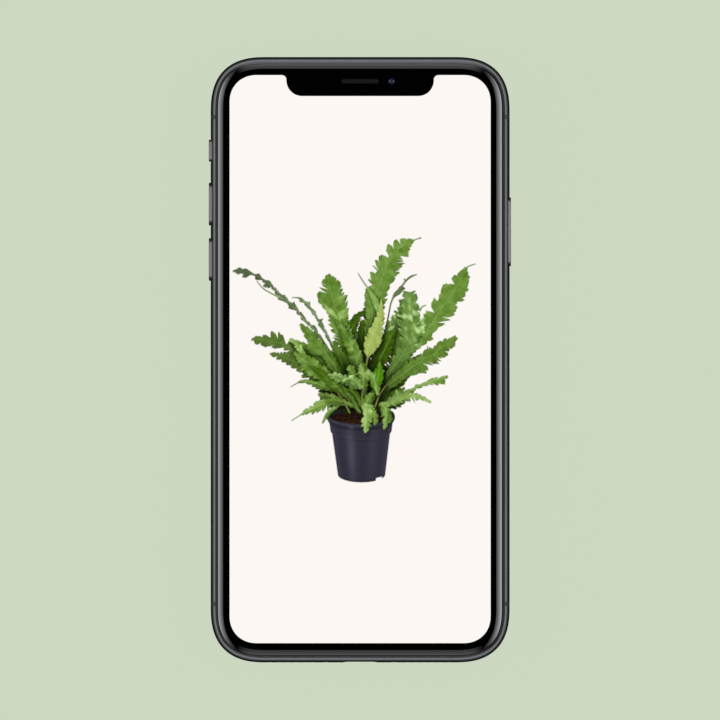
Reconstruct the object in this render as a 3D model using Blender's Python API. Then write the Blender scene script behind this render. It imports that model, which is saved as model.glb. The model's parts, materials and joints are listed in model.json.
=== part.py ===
"""A smartphone with a notched display, lying on its back with the screen up.

X runs to the right of the screen, Y to its top edge and Z out of it. The origin is the middle of
the back's flat face. Lengths are in millimetres here and turned into metres when a mesh is made.
"""

import math

import bmesh
import bpy
from mathutils import Matrix, Vector

MM = 0.001

# Driving dimensions of the body, read from the front view.
BODY_WIDTH = 70.9
BODY_HEIGHT = 143.6
BODY_THICKNESS = 7.7
CORNER_REACH = 13.2  # how far the rounded corner runs along each edge
CORNER_POWER = 2.55  # 2 is a circle; more is squarer, with a softer start
CORNER_STEPS = 16

HALF_WIDTH = BODY_WIDTH / 2
HALF_HEIGHT = BODY_HEIGHT / 2
MID_Z = BODY_THICKNESS / 2

# Insets from the body's outline, and the heights where the layers lie.
GLASS_FLAT_INSET = 2.95
GLASS_EDGE_INSET = 1.73
BACK_EDGE_INSET = 1.45
BAND_LIP_INSET = 1.35
BAND_WALL_INSET = 2.6
BAND_LEDGE_LOW = 1.75
BAND_LEDGE_HIGH = 5.95
BAND_ARC_STEPS = 14
GLASS_BOTTOM = 6.95
GASKET_TOP = 6.85
BACK_GLASS_TOP = 0.80
PLATE_LOW, PLATE_HIGH = 0.90, 1.68
BAY_FLOOR = 1.80
BAY_ROOF = 5.75
PANEL_INSET = 3.2
BACKPLATE_LOW, BACKPLATE_HIGH = 5.90, 6.15
PANEL_LOW, PANEL_HIGH = 6.25, 6.60
EDGE_STEEP, EDGE_SHALLOW = math.radians(40), math.radians(10)
EDGE_STEPS = 4

# The notch in the display, and what lies in it.
NOTCH_HALF_WIDTH = 17.4
NOTCH_FLOOR_Y = 62.46
NOTCH_CORNER = 3.7
SENSOR_Y = 65.85
EARPIECE_SLIT_LENGTH = 8.9
EARPIECE_SLIT_HEIGHT = 1.1
GRILLE_LOW, GRILLE_TOP = 6.2, 7.46
FRONT_CAMERA_X = 7.5

# The four plastic breaks in the metal band.
UPPER_BREAK_Y, LOWER_BREAK_Y = 57.46, -57.79
BREAK_WIDTH = 0.97
BREAK_GAP = 0.02
BREAK_REACH = BREAK_WIDTH / 2 + BREAK_GAP  # from a break's middle to the steel

# Buttons: middle along Y, length along Y, width along Z.
VOLUME_UP_Y, VOLUME_DOWN_Y, VOLUME_LENGTH = 36.92, 23.79, 10.34
SIDE_BUTTON_Y, SIDE_BUTTON_LENGTH = 30.35, 16.6
RING_SWITCH_Y, RING_SWITCH_LENGTH = 49.56, 5.42
BUTTON_WIDTH = 2.9
RING_LEVER_WIDTH = 1.7
RING_SWITCH_TRAVEL = 1.1
BUTTON_CLEARANCE = 0.08
LEFT_PROUD, RIGHT_PROUD = 0.45, 0.32
BUTTON_TRAVEL = 0.3
FLANGE_THICKNESS = 0.4
FLANGE_MARGIN = 0.35
SWITCH_GAP = 0.05

# Bottom edge: socket, screws and the two rows of holes.
PORT_LENGTH, PORT_HEIGHT = 9.0, 3.2
PORT_WALL = 0.32
PORT_DEPTH = 7.6
TONGUE_LENGTH, TONGUE_HEIGHT, TONGUE_REACH = 6.7, 0.7, 4.5
SCREW_X = 8.1
SCREW_HEAD_RADIUS = 0.75
HOLE_RADIUS = 0.65
HOLE_PITCH = 2.0
HOLES_START_X = 11.2
HOLES_PER_SIDE = 6
MESH_HEIGHT = 1.9
MESH_CORNER = 0.1

# Rear camera window, a stadium with its long side along Y.
WINDOW_X, WINDOW_Y = 24.3, 51.1
WINDOW_WIDTH, WINDOW_LENGTH = 12.0, 31.0
WINDOW_HIGH = 0.62
WINDOW_GAP = 0.06
PLATE_GAP = 0.3
CAMERA_HALF_X, CAMERA_HALF_Y = 5.2, 5.1
CAMERA_LOW, CAMERA_HIGH = 2.4, 5.7
WIDE_CAMERA_Y, WIDE_BARREL_RADIUS = 60.6, 4.3
TELE_CAMERA_Y, TELE_BARREL_RADIUS = 50.2, 3.9
FLASH_Y, FLASH_RADIUS = 41.2, 2.6
FLASH_SHOULDER, FLASH_TOP = 1.4, 2.2
LENS_GAP = 0.1

# Card tray in the right edge.
TRAY_Y = 4.0
TRAY_DOOR_LENGTH, TRAY_DOOR_WIDTH = 14.6, 2.4
TRAY_DOOR_INNER_X = 33.2
TRAY_INNER_X = 18.2
TRAY_PLATE_WIDTH, TRAY_PLATE_THICKNESS = 13.0, 1.0
CARD_LENGTH, CARD_WIDTH, CARD_THICKNESS = 12.3, 8.8, 0.67
CARD_CORNER = 1.6
CARD_X = 25.4
CARD_MARGIN = 0.1
TRAY_LEDGE = 1.0

# Charging coil behind the back glass.
COIL_Y = -2.0
COIL_OUTER, COIL_INNER = 22.3, 9.0

# Round sensors in the notch: place along X, radius, height of the shoulder, of the top, material.
SENSOR_BASE = 2.7
NECK_SHARE = 0.3  # how much of its radius a module loses above its shoulder
FRONT_SENSORS = {
    "front_camera": (FRONT_CAMERA_X, 2.3, 5.0, 6.85, "lens_glass"),
    "infrared_camera": (-14.0, 2.1, 5.2, 6.8, "lens_glass"),
    "dot_projector": (13.0, 2.2, 5.2, 6.8, "lens_glass"),
    "proximity_sensor": (-9.6, 1.5, 5.4, 6.8, "black_plastic"),
}

# Upright blocks inside: two opposite corners, material, corner radius.
BOARD_LOW, BOARD_HIGH = 1.95, 2.75
SHIELD_LOW = BOARD_HIGH + 0.05
INNER_BLOCKS = {
    "battery_main": ((-30.2, -52.0, BAY_FLOOR), (0.0, 48.0, BAY_ROOF), "battery_wrap", 1.2),
    "battery_lower": ((0.6, -52.0, BAY_FLOOR), (31.2, -9.2, BAY_ROOF), "battery_wrap", 1.2),
    "processor_shield": ((2.0, 14.5, SHIELD_LOW), (30.0, 33.0, 5.0), "bright_steel", 0.6),
    "radio_shield": ((2.0, 36.0, SHIELD_LOW), (16.6, 60.0, 4.6), "bright_steel", 0.6),
    "power_shield": ((2.0, -7.0, SHIELD_LOW), (16.0, 13.0, 4.4), "bright_steel", 0.6),
    "upper_antenna": ((-29.0, 50.0, 1.85), (-17.5, 63.5, 3.4), "black_plastic", 4.0),
    "ambient_microphone": ((-14.5, 50.0, 1.85), (-9.0, 54.0, 3.6), "bright_steel", 0.4),
    "sensor_bracket": ((-16.4, 63.4, 2.2), (16.4, 68.8, 2.6), "bright_steel", 0.6),
    "earpiece_speaker": ((-7.2, 63.6, 2.7), (4.6, 68.6, 5.9), "black_plastic", 0.8),
    "loudspeaker": ((9.6, -68.6, BAY_FLOOR), (28.0, -53.2, 5.6), "black_plastic", 3.6),
    "microphone": ((-16.5, -68.6, 2.6), (-12.0, -65.9, 4.6), "black_plastic", 0.4),
    "vibration_motor": ((-29.5, -65.4, BAY_FLOOR), (-8.5, -53.2, 5.5), "bright_steel", 3.0),
    "port_board": ((-7.6, -63.6, BAY_FLOOR), (8.6, -53.2, 2.5), "flex", 0.8),
}
BOARD_OUTLINE = ((0.8, -8.4), (30.9, -8.4), (30.9, 34.2), (17.6, 34.2), (17.6, 61.5), (0.8, 61.5))

# The display's flat cable: its low and high ends, and its length along X.
RIBBON_LOW, RIBBON_HIGH, RIBBON_THICKNESS = 4.66, 5.82, 0.14
RIBBON_RUN, RIBBON_WIDTH = 9.0, 8.0
RIBBON_X, RIBBON_Y = 9.3, 48.0
RIBBON_STEPS = 12

BLOCK_EDGE = 0.12  # the most that a block's long edges are broken by
THROUGH = 12.0  # how far a cutter runs past what it goes right through


def clear_scene():
    for obj in list(bpy.data.objects):
        bpy.data.objects.remove(obj, do_unlink=True)


# Materials


def make_material(name, colour, roughness, metallic=0.0):
    material = bpy.data.materials.new(name)
    material.use_nodes = True
    shader = material.node_tree.nodes["Principled BSDF"]
    shader.inputs["Base Color"].default_value = (*colour, 1.0)
    shader.inputs["Roughness"].default_value = roughness
    shader.inputs["Metallic"].default_value = metallic
    material.diffuse_color = (*colour, 1.0)
    return material


def make_materials():
    return {
        "dark_steel": make_material("dark_steel", (0.11, 0.11, 0.12), 0.28, 1.0),
        "antenna_plastic": make_material("antenna_plastic", (0.035, 0.035, 0.04), 0.5),
        "gasket": make_material("gasket", (0.02, 0.02, 0.022), 0.6),
        "cover_glass": make_material("cover_glass", (0.01, 0.01, 0.012), 0.05),
        "back_glass": make_material("back_glass", (0.03, 0.03, 0.034), 0.08),
        "display": make_material("display", (0.96, 0.93, 0.90), 0.4),
        "aluminium": make_material("aluminium", (0.62, 0.63, 0.65), 0.35, 1.0),
        "bright_steel": make_material("bright_steel", (0.72, 0.72, 0.73), 0.25, 1.0),
        "black_plastic": make_material("black_plastic", (0.025, 0.025, 0.027), 0.45),
        "lens_glass": make_material("lens_glass", (0.01, 0.015, 0.04), 0.03),
        "battery_wrap": make_material("battery_wrap", (0.05, 0.05, 0.055), 0.55),
        "circuit_board": make_material("circuit_board", (0.03, 0.06, 0.12), 0.45),
        "copper": make_material("copper", (0.72, 0.38, 0.20), 0.3, 1.0),
        "flex": make_material("flex", (0.32, 0.16, 0.05), 0.5),
        "card_plastic": make_material("card_plastic", (0.85, 0.85, 0.84), 0.4),
    }


# Outlines in the plane, as lists of 2-D points running anticlockwise


def rounded_corner(centre, start_angle, reach, steps, power):
    """Points and outward normals of one corner, a quarter of a superellipse."""
    found = []
    for step in range(steps + 1):
        angle = math.pi / 2 * step / steps
        along, across = math.cos(angle), math.sin(angle)
        point = Vector((along ** (2 / power), across ** (2 / power))) * reach
        normal = Vector((along ** (2 - 2 / power), across ** (2 - 2 / power))).normalized()
        turn = math.radians(start_angle)
        turned = [
            Vector((v.x * math.cos(turn) - v.y * math.sin(turn),
                    v.x * math.sin(turn) + v.y * math.cos(turn)))
            for v in (point, normal)
        ]
        found.append((centre + turned[0], turned[1]))
    return found


def rounded_rectangle(half_width, half_height, reach, steps=CORNER_STEPS, power=CORNER_POWER):
    """Points and normals of a rectangle with rounded corners, from its right side's top round."""
    x, y = half_width - reach, half_height - reach
    found = []
    for centre, angle in (((x, y), 0), ((-x, y), 90), ((-x, -y), 180), ((x, -y), 270)):
        found += rounded_corner(Vector(centre), angle, reach, steps, power)
    return found


BODY_OUTLINE = rounded_rectangle(HALF_WIDTH, HALF_HEIGHT, CORNER_REACH)


def moved_in(stations, inset):
    """The outline that lies this far inside the stations' own."""
    return [point - normal * inset for point, normal in stations]


def body_ring(inset):
    return moved_in(BODY_OUTLINE, inset)


def box_ring(half_width, half_height, corner, steps=3):
    """A function from inset to the outline of a box with round corners."""
    stations = rounded_rectangle(half_width, half_height, corner, steps, 2.0)
    return lambda inset: moved_in(stations, inset)


def stadium_ring(length, width, steps=8):
    """A function from inset to a stadium's outline, with its long side along Y."""
    radius = width / 2
    end = length / 2 - radius
    stations = []
    for middle, first in ((end, 0), (-end, 180)):
        for step in range(steps + 1):
            angle = math.radians(first + 180 * step / steps)
            normal = Vector((math.cos(angle), math.sin(angle)))
            stations.append((Vector((0, middle)) + normal * radius, normal))
    return lambda inset: moved_in(stations, inset)


def circle_ring(radius, steps=24):
    angles = [2 * math.pi * step / steps for step in range(steps)]
    normals = [Vector((math.cos(a), math.sin(a))) for a in angles]
    return lambda inset: [normal * (radius - inset) for normal in normals]


# Solids


def finish_object(name, bm, material, location=(0, 0, 0), rotation=(0, 0, 0)):
    bmesh.ops.recalc_face_normals(bm, faces=bm.faces)
    mesh = bpy.data.meshes.new(name)
    bm.to_mesh(mesh)
    bm.free()
    mesh.shade_smooth()
    mesh.set_sharp_from_angle(angle=math.radians(32))
    if material is not None:
        mesh.materials.append(material)
    obj = bpy.data.objects.new(name, mesh)
    obj.location = Vector(location) * MM
    obj.rotation_euler = rotation
    bpy.context.scene.collection.objects.link(obj)
    return obj


def stacked(name, ring, levels, material, location=(0, 0, 0), rotation=(0, 0, 0)):
    """A closed solid through one outline at several levels, each an (inset, height)."""
    bm = bmesh.new()
    rings = [
        [bm.verts.new((point.x * MM, point.y * MM, height * MM)) for point in ring(inset)]
        for inset, height in levels
    ]
    for lower, upper in zip(rings, rings[1:]):
        for index in range(len(lower)):
            after = (index + 1) % len(lower)
            bm.faces.new((lower[index], lower[after], upper[after], upper[index]))
    bm.faces.new(rings[0])
    bm.faces.new(rings[-1])
    return finish_object(name, bm, material, location, rotation)


def block(name, low, high, material, corner=0.6):
    """An upright box between two corners, with its four upright edges rounded."""
    size = Vector(high) - Vector(low)
    middle = (Vector(low) + Vector(high)) / 2
    ring = box_ring(size.x / 2, size.y / 2, corner)
    soft = min(BLOCK_EDGE, size.z / 4, corner / 2)
    levels = [(soft, 0), (0, soft), (0, size.z - soft), (soft, size.z)]
    return stacked(name, ring, levels, material, (middle.x, middle.y, low[2]))


def swept(name, stations, profile, material, closed):
    """A solid whose cross-section, as (inset, height) points, follows the stations."""
    bm = bmesh.new()
    rings = []
    for point, normal in stations:
        places = [(point - normal * inset, height) for inset, height in profile]
        rings.append([bm.verts.new((p.x * MM, p.y * MM, h * MM)) for p, h in places])
    pairs = list(zip(rings, rings[1:]))
    if closed:
        pairs.append((rings[-1], rings[0]))
    for first, second in pairs:
        for index in range(len(profile)):
            after = (index + 1) % len(profile)
            bm.faces.new((first[index], first[after], second[after], second[index]))
    if not closed:
        bm.faces.new(rings[0])
        bm.faces.new(rings[-1])
    return finish_object(name, bm, material)


def combine(target, tool, operation):
    """Adds a Boolean with the tool to the target, and hides the tool as a guide."""
    tool.hide_render = True
    tool.display_type = "WIRE"
    change = target.modifiers.new(operation.lower() + "_" + tool.name, "BOOLEAN")
    change.operation = operation
    change.object = tool


def cut(target, cutter):
    combine(target, cutter, "DIFFERENCE")


def join(target, added):
    combine(target, added, "UNION")


def put_origin(obj, place):
    """Moves the object's origin there and leaves its shape where it is."""
    offset = Vector(place) * MM
    obj.data.transform(Matrix.Translation(-offset))
    obj.location = offset


# The metal band and the breaks in it


def band_profile():
    """The band's section: a round outer side, with a ledge for each glass on the inner one."""
    reach = math.acos(1 - BAND_LIP_INSET / MID_Z)
    outer = []
    for step in range(BAND_ARC_STEPS + 1):
        angle = -reach + 2 * reach * step / BAND_ARC_STEPS
        outer.append((MID_Z - MID_Z * math.cos(angle), MID_Z + MID_Z * math.sin(angle)))
    inner = [
        (BAND_LIP_INSET, BAND_LEDGE_HIGH),
        (BAND_WALL_INSET, BAND_LEDGE_HIGH),
        (BAND_WALL_INSET, BAND_LEDGE_LOW),
        (BAND_LIP_INSET, BAND_LEDGE_LOW),
    ]
    return outer + inner


def straight_stations(x, low, high):
    normal = Vector((math.copysign(1, x), 0))
    return [(Vector((x, y)), normal) for y in (low, high)]


def end_stations(sign, break_y):
    """Stations round the top (sign 1) or bottom (sign -1) of the body, between two breaks."""
    start_y = break_y + sign * BREAK_REACH
    curved = [item for item in BODY_OUTLINE if item[0].y * sign > start_y * sign]
    curved.sort(key=lambda item: math.atan2(item[0].x, item[0].y * sign))
    first = (Vector((-HALF_WIDTH, start_y)), Vector((-1, 0)))
    last = (Vector((HALF_WIDTH, start_y)), Vector((1, 0)))
    return [first, *curved, last]


def make_band(materials):
    profile = band_profile()
    steel = materials["dark_steel"]
    top, bottom = end_stations(1, UPPER_BREAK_Y), end_stations(-1, LOWER_BREAK_Y)
    band = {
        "top": swept("frame_top", top, profile, steel, closed=False),
        "bottom": swept("frame_bottom", bottom, profile, steel, closed=False),
    }
    for side, x in (("left", -HALF_WIDTH), ("right", HALF_WIDTH)):
        rail = straight_stations(x, LOWER_BREAK_Y + BREAK_REACH, UPPER_BREAK_Y - BREAK_REACH)
        band[side] = swept("frame_" + side, rail, profile, steel, closed=False)
        for level, y in (("upper", UPPER_BREAK_Y), ("lower", LOWER_BREAK_Y)):
            gap = straight_stations(x, y - BREAK_WIDTH / 2, y + BREAK_WIDTH / 2)
            name = f"antenna_break_{level}_{side}"
            swept(name, gap, profile, materials["antenna_plastic"], closed=False)
    return band


def edge_cutter(name, ring, side, y, grow):
    """A prism along X through a side rail, from an outline whose long side is along Y."""
    length = 2 * BAND_WALL_INSET
    turned = (0, math.radians(90), 0)
    levels = [(-grow, -length), (-grow, length)]
    return stacked(name, ring, levels, None, (side * HALF_WIDTH, y, MID_Z), turned)


# Buttons


def make_press_button(name, side, y, length, proud, material, rail):
    """A button cap through its slot, with a flange behind the wall that keeps it in."""
    ring = stadium_ring(length, BUTTON_WIDTH)
    outer = HALF_WIDTH + proud
    flange_outer = HALF_WIDTH - BAND_WALL_INSET - BUTTON_CLEARANCE
    levels = [
        (-FLANGE_MARGIN, flange_outer - FLANGE_THICKNESS),
        (-FLANGE_MARGIN, flange_outer),
        (0, flange_outer),
        (0, outer - 0.16),
        (0.05, outer - 0.05),
        (0.18, outer),
    ]
    turned = (0, math.radians(90 * side), 0)
    stacked(name, ring, levels, material, (0, y, MID_Z), turned)
    cut(rail, edge_cutter("slot_" + name, ring, side, y, BUTTON_CLEARANCE))


def make_ring_switch(material, rail):
    """A small lever that slides between the front and the back in a taller slot."""
    ring = stadium_ring(RING_SWITCH_LENGTH, RING_LEVER_WIDTH, steps=6)
    outer = HALF_WIDTH + LEFT_PROUD
    inner = HALF_WIDTH - BAND_WALL_INSET - 0.5
    levels = [(0, inner), (0, outer - 0.14), (0.05, outer - 0.04), (0.16, outer)]
    rest_z = MID_Z + RING_SWITCH_TRAVEL / 2
    turned = (0, math.radians(-90), 0)
    stacked("ring_switch", ring, levels, material, (0, RING_SWITCH_Y, rest_z), turned)
    half_tall = (RING_LEVER_WIDTH + RING_SWITCH_TRAVEL) / 2
    slot_ring = box_ring(half_tall, RING_SWITCH_LENGTH / 2, RING_LEVER_WIDTH / 2, steps=6)
    cut(rail, edge_cutter("slot_ring_switch", slot_ring, -1, RING_SWITCH_Y, BUTTON_CLEARANCE))


def make_switch_strip(name, side, low_y, high_y, material):
    """The strip of click switches behind a row of buttons."""
    travel_end = HALF_WIDTH - BAND_WALL_INSET - BUTTON_CLEARANCE - FLANGE_THICKNESS
    outer = travel_end - BUTTON_TRAVEL - SWITCH_GAP
    xs = sorted((side * outer, side * (outer - 0.75)))
    block(name, (xs[0], low_y, 2.5), (xs[1], high_y, 5.2), material, corner=0.2)


def make_buttons(materials, band):
    steel = materials["dark_steel"]
    for name, y in (("volume_up_button", VOLUME_UP_Y), ("volume_down_button", VOLUME_DOWN_Y)):
        make_press_button(name, -1, y, VOLUME_LENGTH, LEFT_PROUD, steel, band["left"])
    make_press_button(
        "side_button", 1, SIDE_BUTTON_Y, SIDE_BUTTON_LENGTH, RIGHT_PROUD, steel, band["right"]
    )
    make_ring_switch(steel, band["left"])
    flex = materials["flex"]
    strip_low = VOLUME_DOWN_Y - VOLUME_LENGTH / 2
    strip_high = VOLUME_UP_Y + VOLUME_LENGTH / 2
    make_switch_strip("volume_switches", -1, strip_low, strip_high, flex)
    reach = SIDE_BUTTON_LENGTH / 2
    make_switch_strip(
        "side_button_switch", 1, SIDE_BUTTON_Y - reach, SIDE_BUTTON_Y + reach, flex
    )
    base_x = -(HALF_WIDTH - BAND_WALL_INSET - 0.6)
    block(
        "ring_switch_base",
        (base_x, RING_SWITCH_Y - 3.2, 2.4),
        (base_x + 1.5, RING_SWITCH_Y + 3.2, 5.3),
        materials["black_plastic"],
        corner=0.2,
    )


# Card tray


def make_card_tray(materials, band):
    """The tray: a piece of the band for its door, and a plate with a pocket for the card."""
    steel = materials["dark_steel"]
    door_ring = stadium_ring(TRAY_DOOR_LENGTH, TRAY_DOOR_WIDTH)
    cut(band["right"], edge_cutter("slot_card_tray", door_ring, 1, TRAY_Y, BUTTON_CLEARANCE))

    bar = straight_stations(HALF_WIDTH, TRAY_Y - TRAY_DOOR_LENGTH, TRAY_Y + TRAY_DOOR_LENGTH)
    outer = [item for item in band_profile() if abs(item[1] - MID_Z) < TRAY_DOOR_WIDTH]
    depth = HALF_WIDTH - TRAY_DOOR_INNER_X
    section = outer + [(depth, outer[-1][1]), (depth, outer[0][1])]
    tray = swept("sim_tray", bar, section, steel, closed=False)
    put_origin(tray, (HALF_WIDTH, TRAY_Y, MID_Z))
    combine(tray, edge_cutter("tray_door_outline", door_ring, 1, TRAY_Y, 0), "INTERSECT")

    half_plate = TRAY_PLATE_THICKNESS / 2
    half_width = TRAY_PLATE_WIDTH / 2
    plate_low = (TRAY_INNER_X, TRAY_Y - half_width, MID_Z - half_plate)
    plate_high = (TRAY_DOOR_INNER_X + 0.6, TRAY_Y + half_width, MID_Z + half_plate)
    join(tray, block("tray_plate", plate_low, plate_high, steel, corner=0.5))

    half_x, half_y = CARD_WIDTH / 2, CARD_LENGTH / 2
    pocket_floor = MID_Z + half_plate - CARD_THICKNESS - 0.05
    place = (CARD_X, TRAY_Y, 0)
    pocket_levels = [(-CARD_MARGIN, pocket_floor), (-CARD_MARGIN, MID_Z + 2)]
    cut(tray, stacked("tray_pocket", box_ring(half_x, half_y, 0.3), pocket_levels, None, place))
    window_levels = [(TRAY_LEDGE, MID_Z - 2), (TRAY_LEDGE, MID_Z + 2)]
    window_ring = box_ring(half_x, half_y, TRAY_LEDGE + 0.5)
    cut(tray, stacked("tray_window", window_ring, window_levels, None, place))
    pin_place = (HALF_WIDTH, TRAY_Y - TRAY_DOOR_LENGTH / 2 + 1.9, MID_Z)
    pin_levels = [(0, -1.4), (0, 1.4)]
    turned = (0, math.radians(90), 0)
    cut(tray, stacked("pin_hole", circle_ring(0.45, 12), pin_levels, None, pin_place, turned))

    make_card(materials["card_plastic"], pocket_floor + 0.02)
    make_card_reader(materials["bright_steel"])


def make_card(material, low):
    """The card, with one corner cut off."""
    half_x, half_y = CARD_WIDTH / 2, CARD_LENGTH / 2
    corners = [
        Vector((-half_x, -half_y)),
        Vector((half_x, -half_y)),
        Vector((half_x, half_y - CARD_CORNER)),
        Vector((half_x - CARD_CORNER, half_y)),
        Vector((-half_x, half_y)),
    ]
    levels = [(0, low), (0, low + CARD_THICKNESS)]
    stacked("sim_card", lambda inset: corners, levels, material, (CARD_X, TRAY_Y, 0))


def make_card_reader(material):
    """The metal case that the tray's plate slides into, open towards the band."""
    half_width = TRAY_PLATE_WIDTH / 2
    half_plate = TRAY_PLATE_THICKNESS / 2
    reader = block(
        "sim_reader",
        (TRAY_INNER_X - 0.9, TRAY_Y - half_width - 0.6, MID_Z - 1),
        (HALF_WIDTH - BAND_WALL_INSET - 0.1, TRAY_Y + half_width + 0.6, MID_Z + 1.05),
        material,
        corner=0.3,
    )
    channel = block(
        "reader_channel",
        (TRAY_INNER_X - 0.3, TRAY_Y - half_width - 0.15, MID_Z - half_plate - 0.15),
        (HALF_WIDTH, TRAY_Y + half_width + 0.15, MID_Z + half_plate + 0.15),
        None,
        corner=0.2,
    )
    cut(reader, channel)


# Front: glass, gasket, display and what shows through the notch


def glass_edge_levels(edge_inset, flat_height, facing):
    """Levels of a glass edge that curves from steep, outside, to shallow at a faint crease.

    facing is 1 where the glass's flat looks up, and -1 where it looks down.
    """
    radius = (GLASS_FLAT_INSET - edge_inset) / (math.sin(EDGE_STEEP) - math.sin(EDGE_SHALLOW))
    levels = []
    for step in range(EDGE_STEPS + 1):
        tilt = EDGE_STEEP + (EDGE_SHALLOW - EDGE_STEEP) * step / EDGE_STEPS
        inset = GLASS_FLAT_INSET + radius * (math.sin(EDGE_SHALLOW) - math.sin(tilt))
        drop = radius * (math.cos(EDGE_SHALLOW) - math.cos(tilt))
        levels.append((inset, flat_height - facing * drop))
    return levels


def make_front(materials):
    levels = [(GLASS_EDGE_INSET + 0.08, GLASS_BOTTOM), (GLASS_EDGE_INSET, GLASS_BOTTOM + 0.06)]
    levels += glass_edge_levels(GLASS_EDGE_INSET, BODY_THICKNESS, 1)
    glass = stacked("front_glass", body_ring, levels, materials["cover_glass"])
    turned = (0, 0, math.radians(90))
    slit = stacked(
        "earpiece_slit",
        stadium_ring(EARPIECE_SLIT_LENGTH, EARPIECE_SLIT_HEIGHT),
        [(0, 0), (0, THROUGH)],
        None,
        (0, SENSOR_Y, 0),
        turned,
    )
    cut(glass, slit)
    stacked(
        "earpiece_grille",
        stadium_ring(EARPIECE_SLIT_LENGTH, EARPIECE_SLIT_HEIGHT),
        [(0.05, GRILLE_LOW), (0.05, GRILLE_TOP - 0.06), (0.12, GRILLE_TOP)],
        materials["black_plastic"],
        (0, SENSOR_Y, 0),
        turned,
    )
    gasket_profile = [
        (BAND_LIP_INSET + 0.05, BAND_LEDGE_HIGH + 0.05),
        (BAND_LIP_INSET + 0.05, 6.70),
        (1.66, 6.70),
        (1.85, GASKET_TOP),
        (2.9, GASKET_TOP),
        (2.9, BAND_LEDGE_HIGH + 0.05),
    ]
    swept("display_gasket", BODY_OUTLINE, gasket_profile, materials["gasket"], closed=True)


def notch_cutter(name, margin):
    """A prism through the display's top edge, with round lower corners."""
    half_height = (HALF_HEIGHT + THROUGH - NOTCH_FLOOR_Y) / 2
    ring = box_ring(NOTCH_HALF_WIDTH, half_height, NOTCH_CORNER, steps=6)
    middle = NOTCH_FLOOR_Y + half_height
    return stacked(name, ring, [(-margin, 0), (-margin, THROUGH)], None, (0, middle, 0))


def make_display(materials):
    panel = stacked(
        "display_panel",
        body_ring,
        [(PANEL_INSET, PANEL_LOW), (PANEL_INSET, PANEL_HIGH)],
        materials["display"],
    )
    cut(panel, notch_cutter("panel_notch", 0))
    plate = stacked(
        "display_backplate",
        body_ring,
        [(PANEL_INSET, BACKPLATE_LOW), (PANEL_INSET, BACKPLATE_HIGH)],
        materials["bright_steel"],
    )
    cut(plate, notch_cutter("backplate_notch", 0.3))


def make_round_module(name, place, radius, base, shoulder, top, material):
    """A round sensor: a wide body below and a narrower barrel above."""
    neck = radius * NECK_SHARE
    levels = [(0, base), (0, shoulder), (neck, shoulder), (neck, top)]
    stacked(name, circle_ring(radius), levels, material, (*place, 0))


def make_sensors(materials):
    for name, (x, radius, shoulder, top, material) in FRONT_SENSORS.items():
        make_round_module(
            name, (x, SENSOR_Y), radius, SENSOR_BASE, shoulder, top, materials[material]
        )


# Back: glass, camera window and cameras, coil, and the plate that carries the rest


def make_back(materials):
    levels = glass_edge_levels(BACK_EDGE_INSET, 0, -1)
    levels.reverse()
    levels += [(BACK_EDGE_INSET, BACK_GLASS_TOP - 0.05), (BACK_EDGE_INSET + 0.06, BACK_GLASS_TOP)]
    glass = stacked("back_glass", body_ring, levels, materials["back_glass"])
    window_ring = stadium_ring(WINDOW_LENGTH, WINDOW_WIDTH, steps=12)
    place = (WINDOW_X, WINDOW_Y, 0)
    through = [(-WINDOW_GAP, -THROUGH), (-WINDOW_GAP, THROUGH)]
    hole = stacked("window_hole", window_ring, through, None, place)
    cut(glass, hole)
    stacked(
        "rear_camera_window",
        window_ring,
        [(0.1, 0.0), (0, 0.1), (0, WINDOW_HIGH)],
        materials["back_glass"],
        place,
    )
    plate = stacked(
        "chassis_plate",
        body_ring,
        [(BACK_EDGE_INSET, PLATE_LOW), (BACK_EDGE_INSET, PLATE_HIGH)],
        materials["aluminium"],
    )
    clear = [(-PLATE_GAP, 0), (-PLATE_GAP, THROUGH)]
    cut(plate, stacked("plate_window", window_ring, clear, None, place))
    coil_ring = circle_ring(COIL_OUTER, 48)
    coil_place = (0, COIL_Y, 0)
    cut(plate, stacked("plate_coil_hole", coil_ring, clear, None, coil_place))
    coil = stacked(
        "charging_coil",
        coil_ring,
        [(0, PLATE_LOW), (0, PLATE_HIGH - 0.1)],
        materials["copper"],
        coil_place,
    )
    middle_levels = [(0, 0), (0, THROUGH)]
    cut(coil, stacked("coil_middle", circle_ring(COIL_INNER, 32), middle_levels, None, coil_place))


def make_rear_camera(name, y, barrel_radius, materials):
    """A camera block that lies on the plate, with its barrel down to the window."""
    camera = block(
        name,
        (WINDOW_X - CAMERA_HALF_X, y - CAMERA_HALF_Y, CAMERA_LOW),
        (WINDOW_X + CAMERA_HALF_X, y + CAMERA_HALF_Y, CAMERA_HIGH),
        materials["black_plastic"],
        corner=0.8,
    )
    low = WINDOW_HIGH + LENS_GAP
    levels = [(0.2, low), (0, low + 0.2), (0, CAMERA_LOW + 0.6)]
    place = (WINDOW_X, y, 0)
    join(camera, stacked(name + "_barrel", circle_ring(barrel_radius), levels, None, place))


def make_rear_cameras(materials):
    make_rear_camera("rear_camera_wide", WIDE_CAMERA_Y, WIDE_BARREL_RADIUS, materials)
    make_rear_camera("rear_camera_tele", TELE_CAMERA_Y, TELE_BARREL_RADIUS, materials)
    make_round_module(
        "rear_flash",
        (WINDOW_X, FLASH_Y),
        FLASH_RADIUS,
        WINDOW_HIGH + LENS_GAP,
        FLASH_SHOULDER,
        FLASH_TOP,
        materials["lens_glass"],
    )


# Inside: battery, boards, shields, motor, loudspeaker and the rest


def make_inside(materials):
    for name, (low, high, material, corner) in INNER_BLOCKS.items():
        block(name, low, high, materials[material], corner)
    outline = [Vector(point) for point in BOARD_OUTLINE]
    levels = [(0, BOARD_LOW), (0, BOARD_HIGH)]
    stacked("logic_board", lambda inset: outline, levels, materials["circuit_board"])
    make_display_ribbon(materials["flex"])


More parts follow.
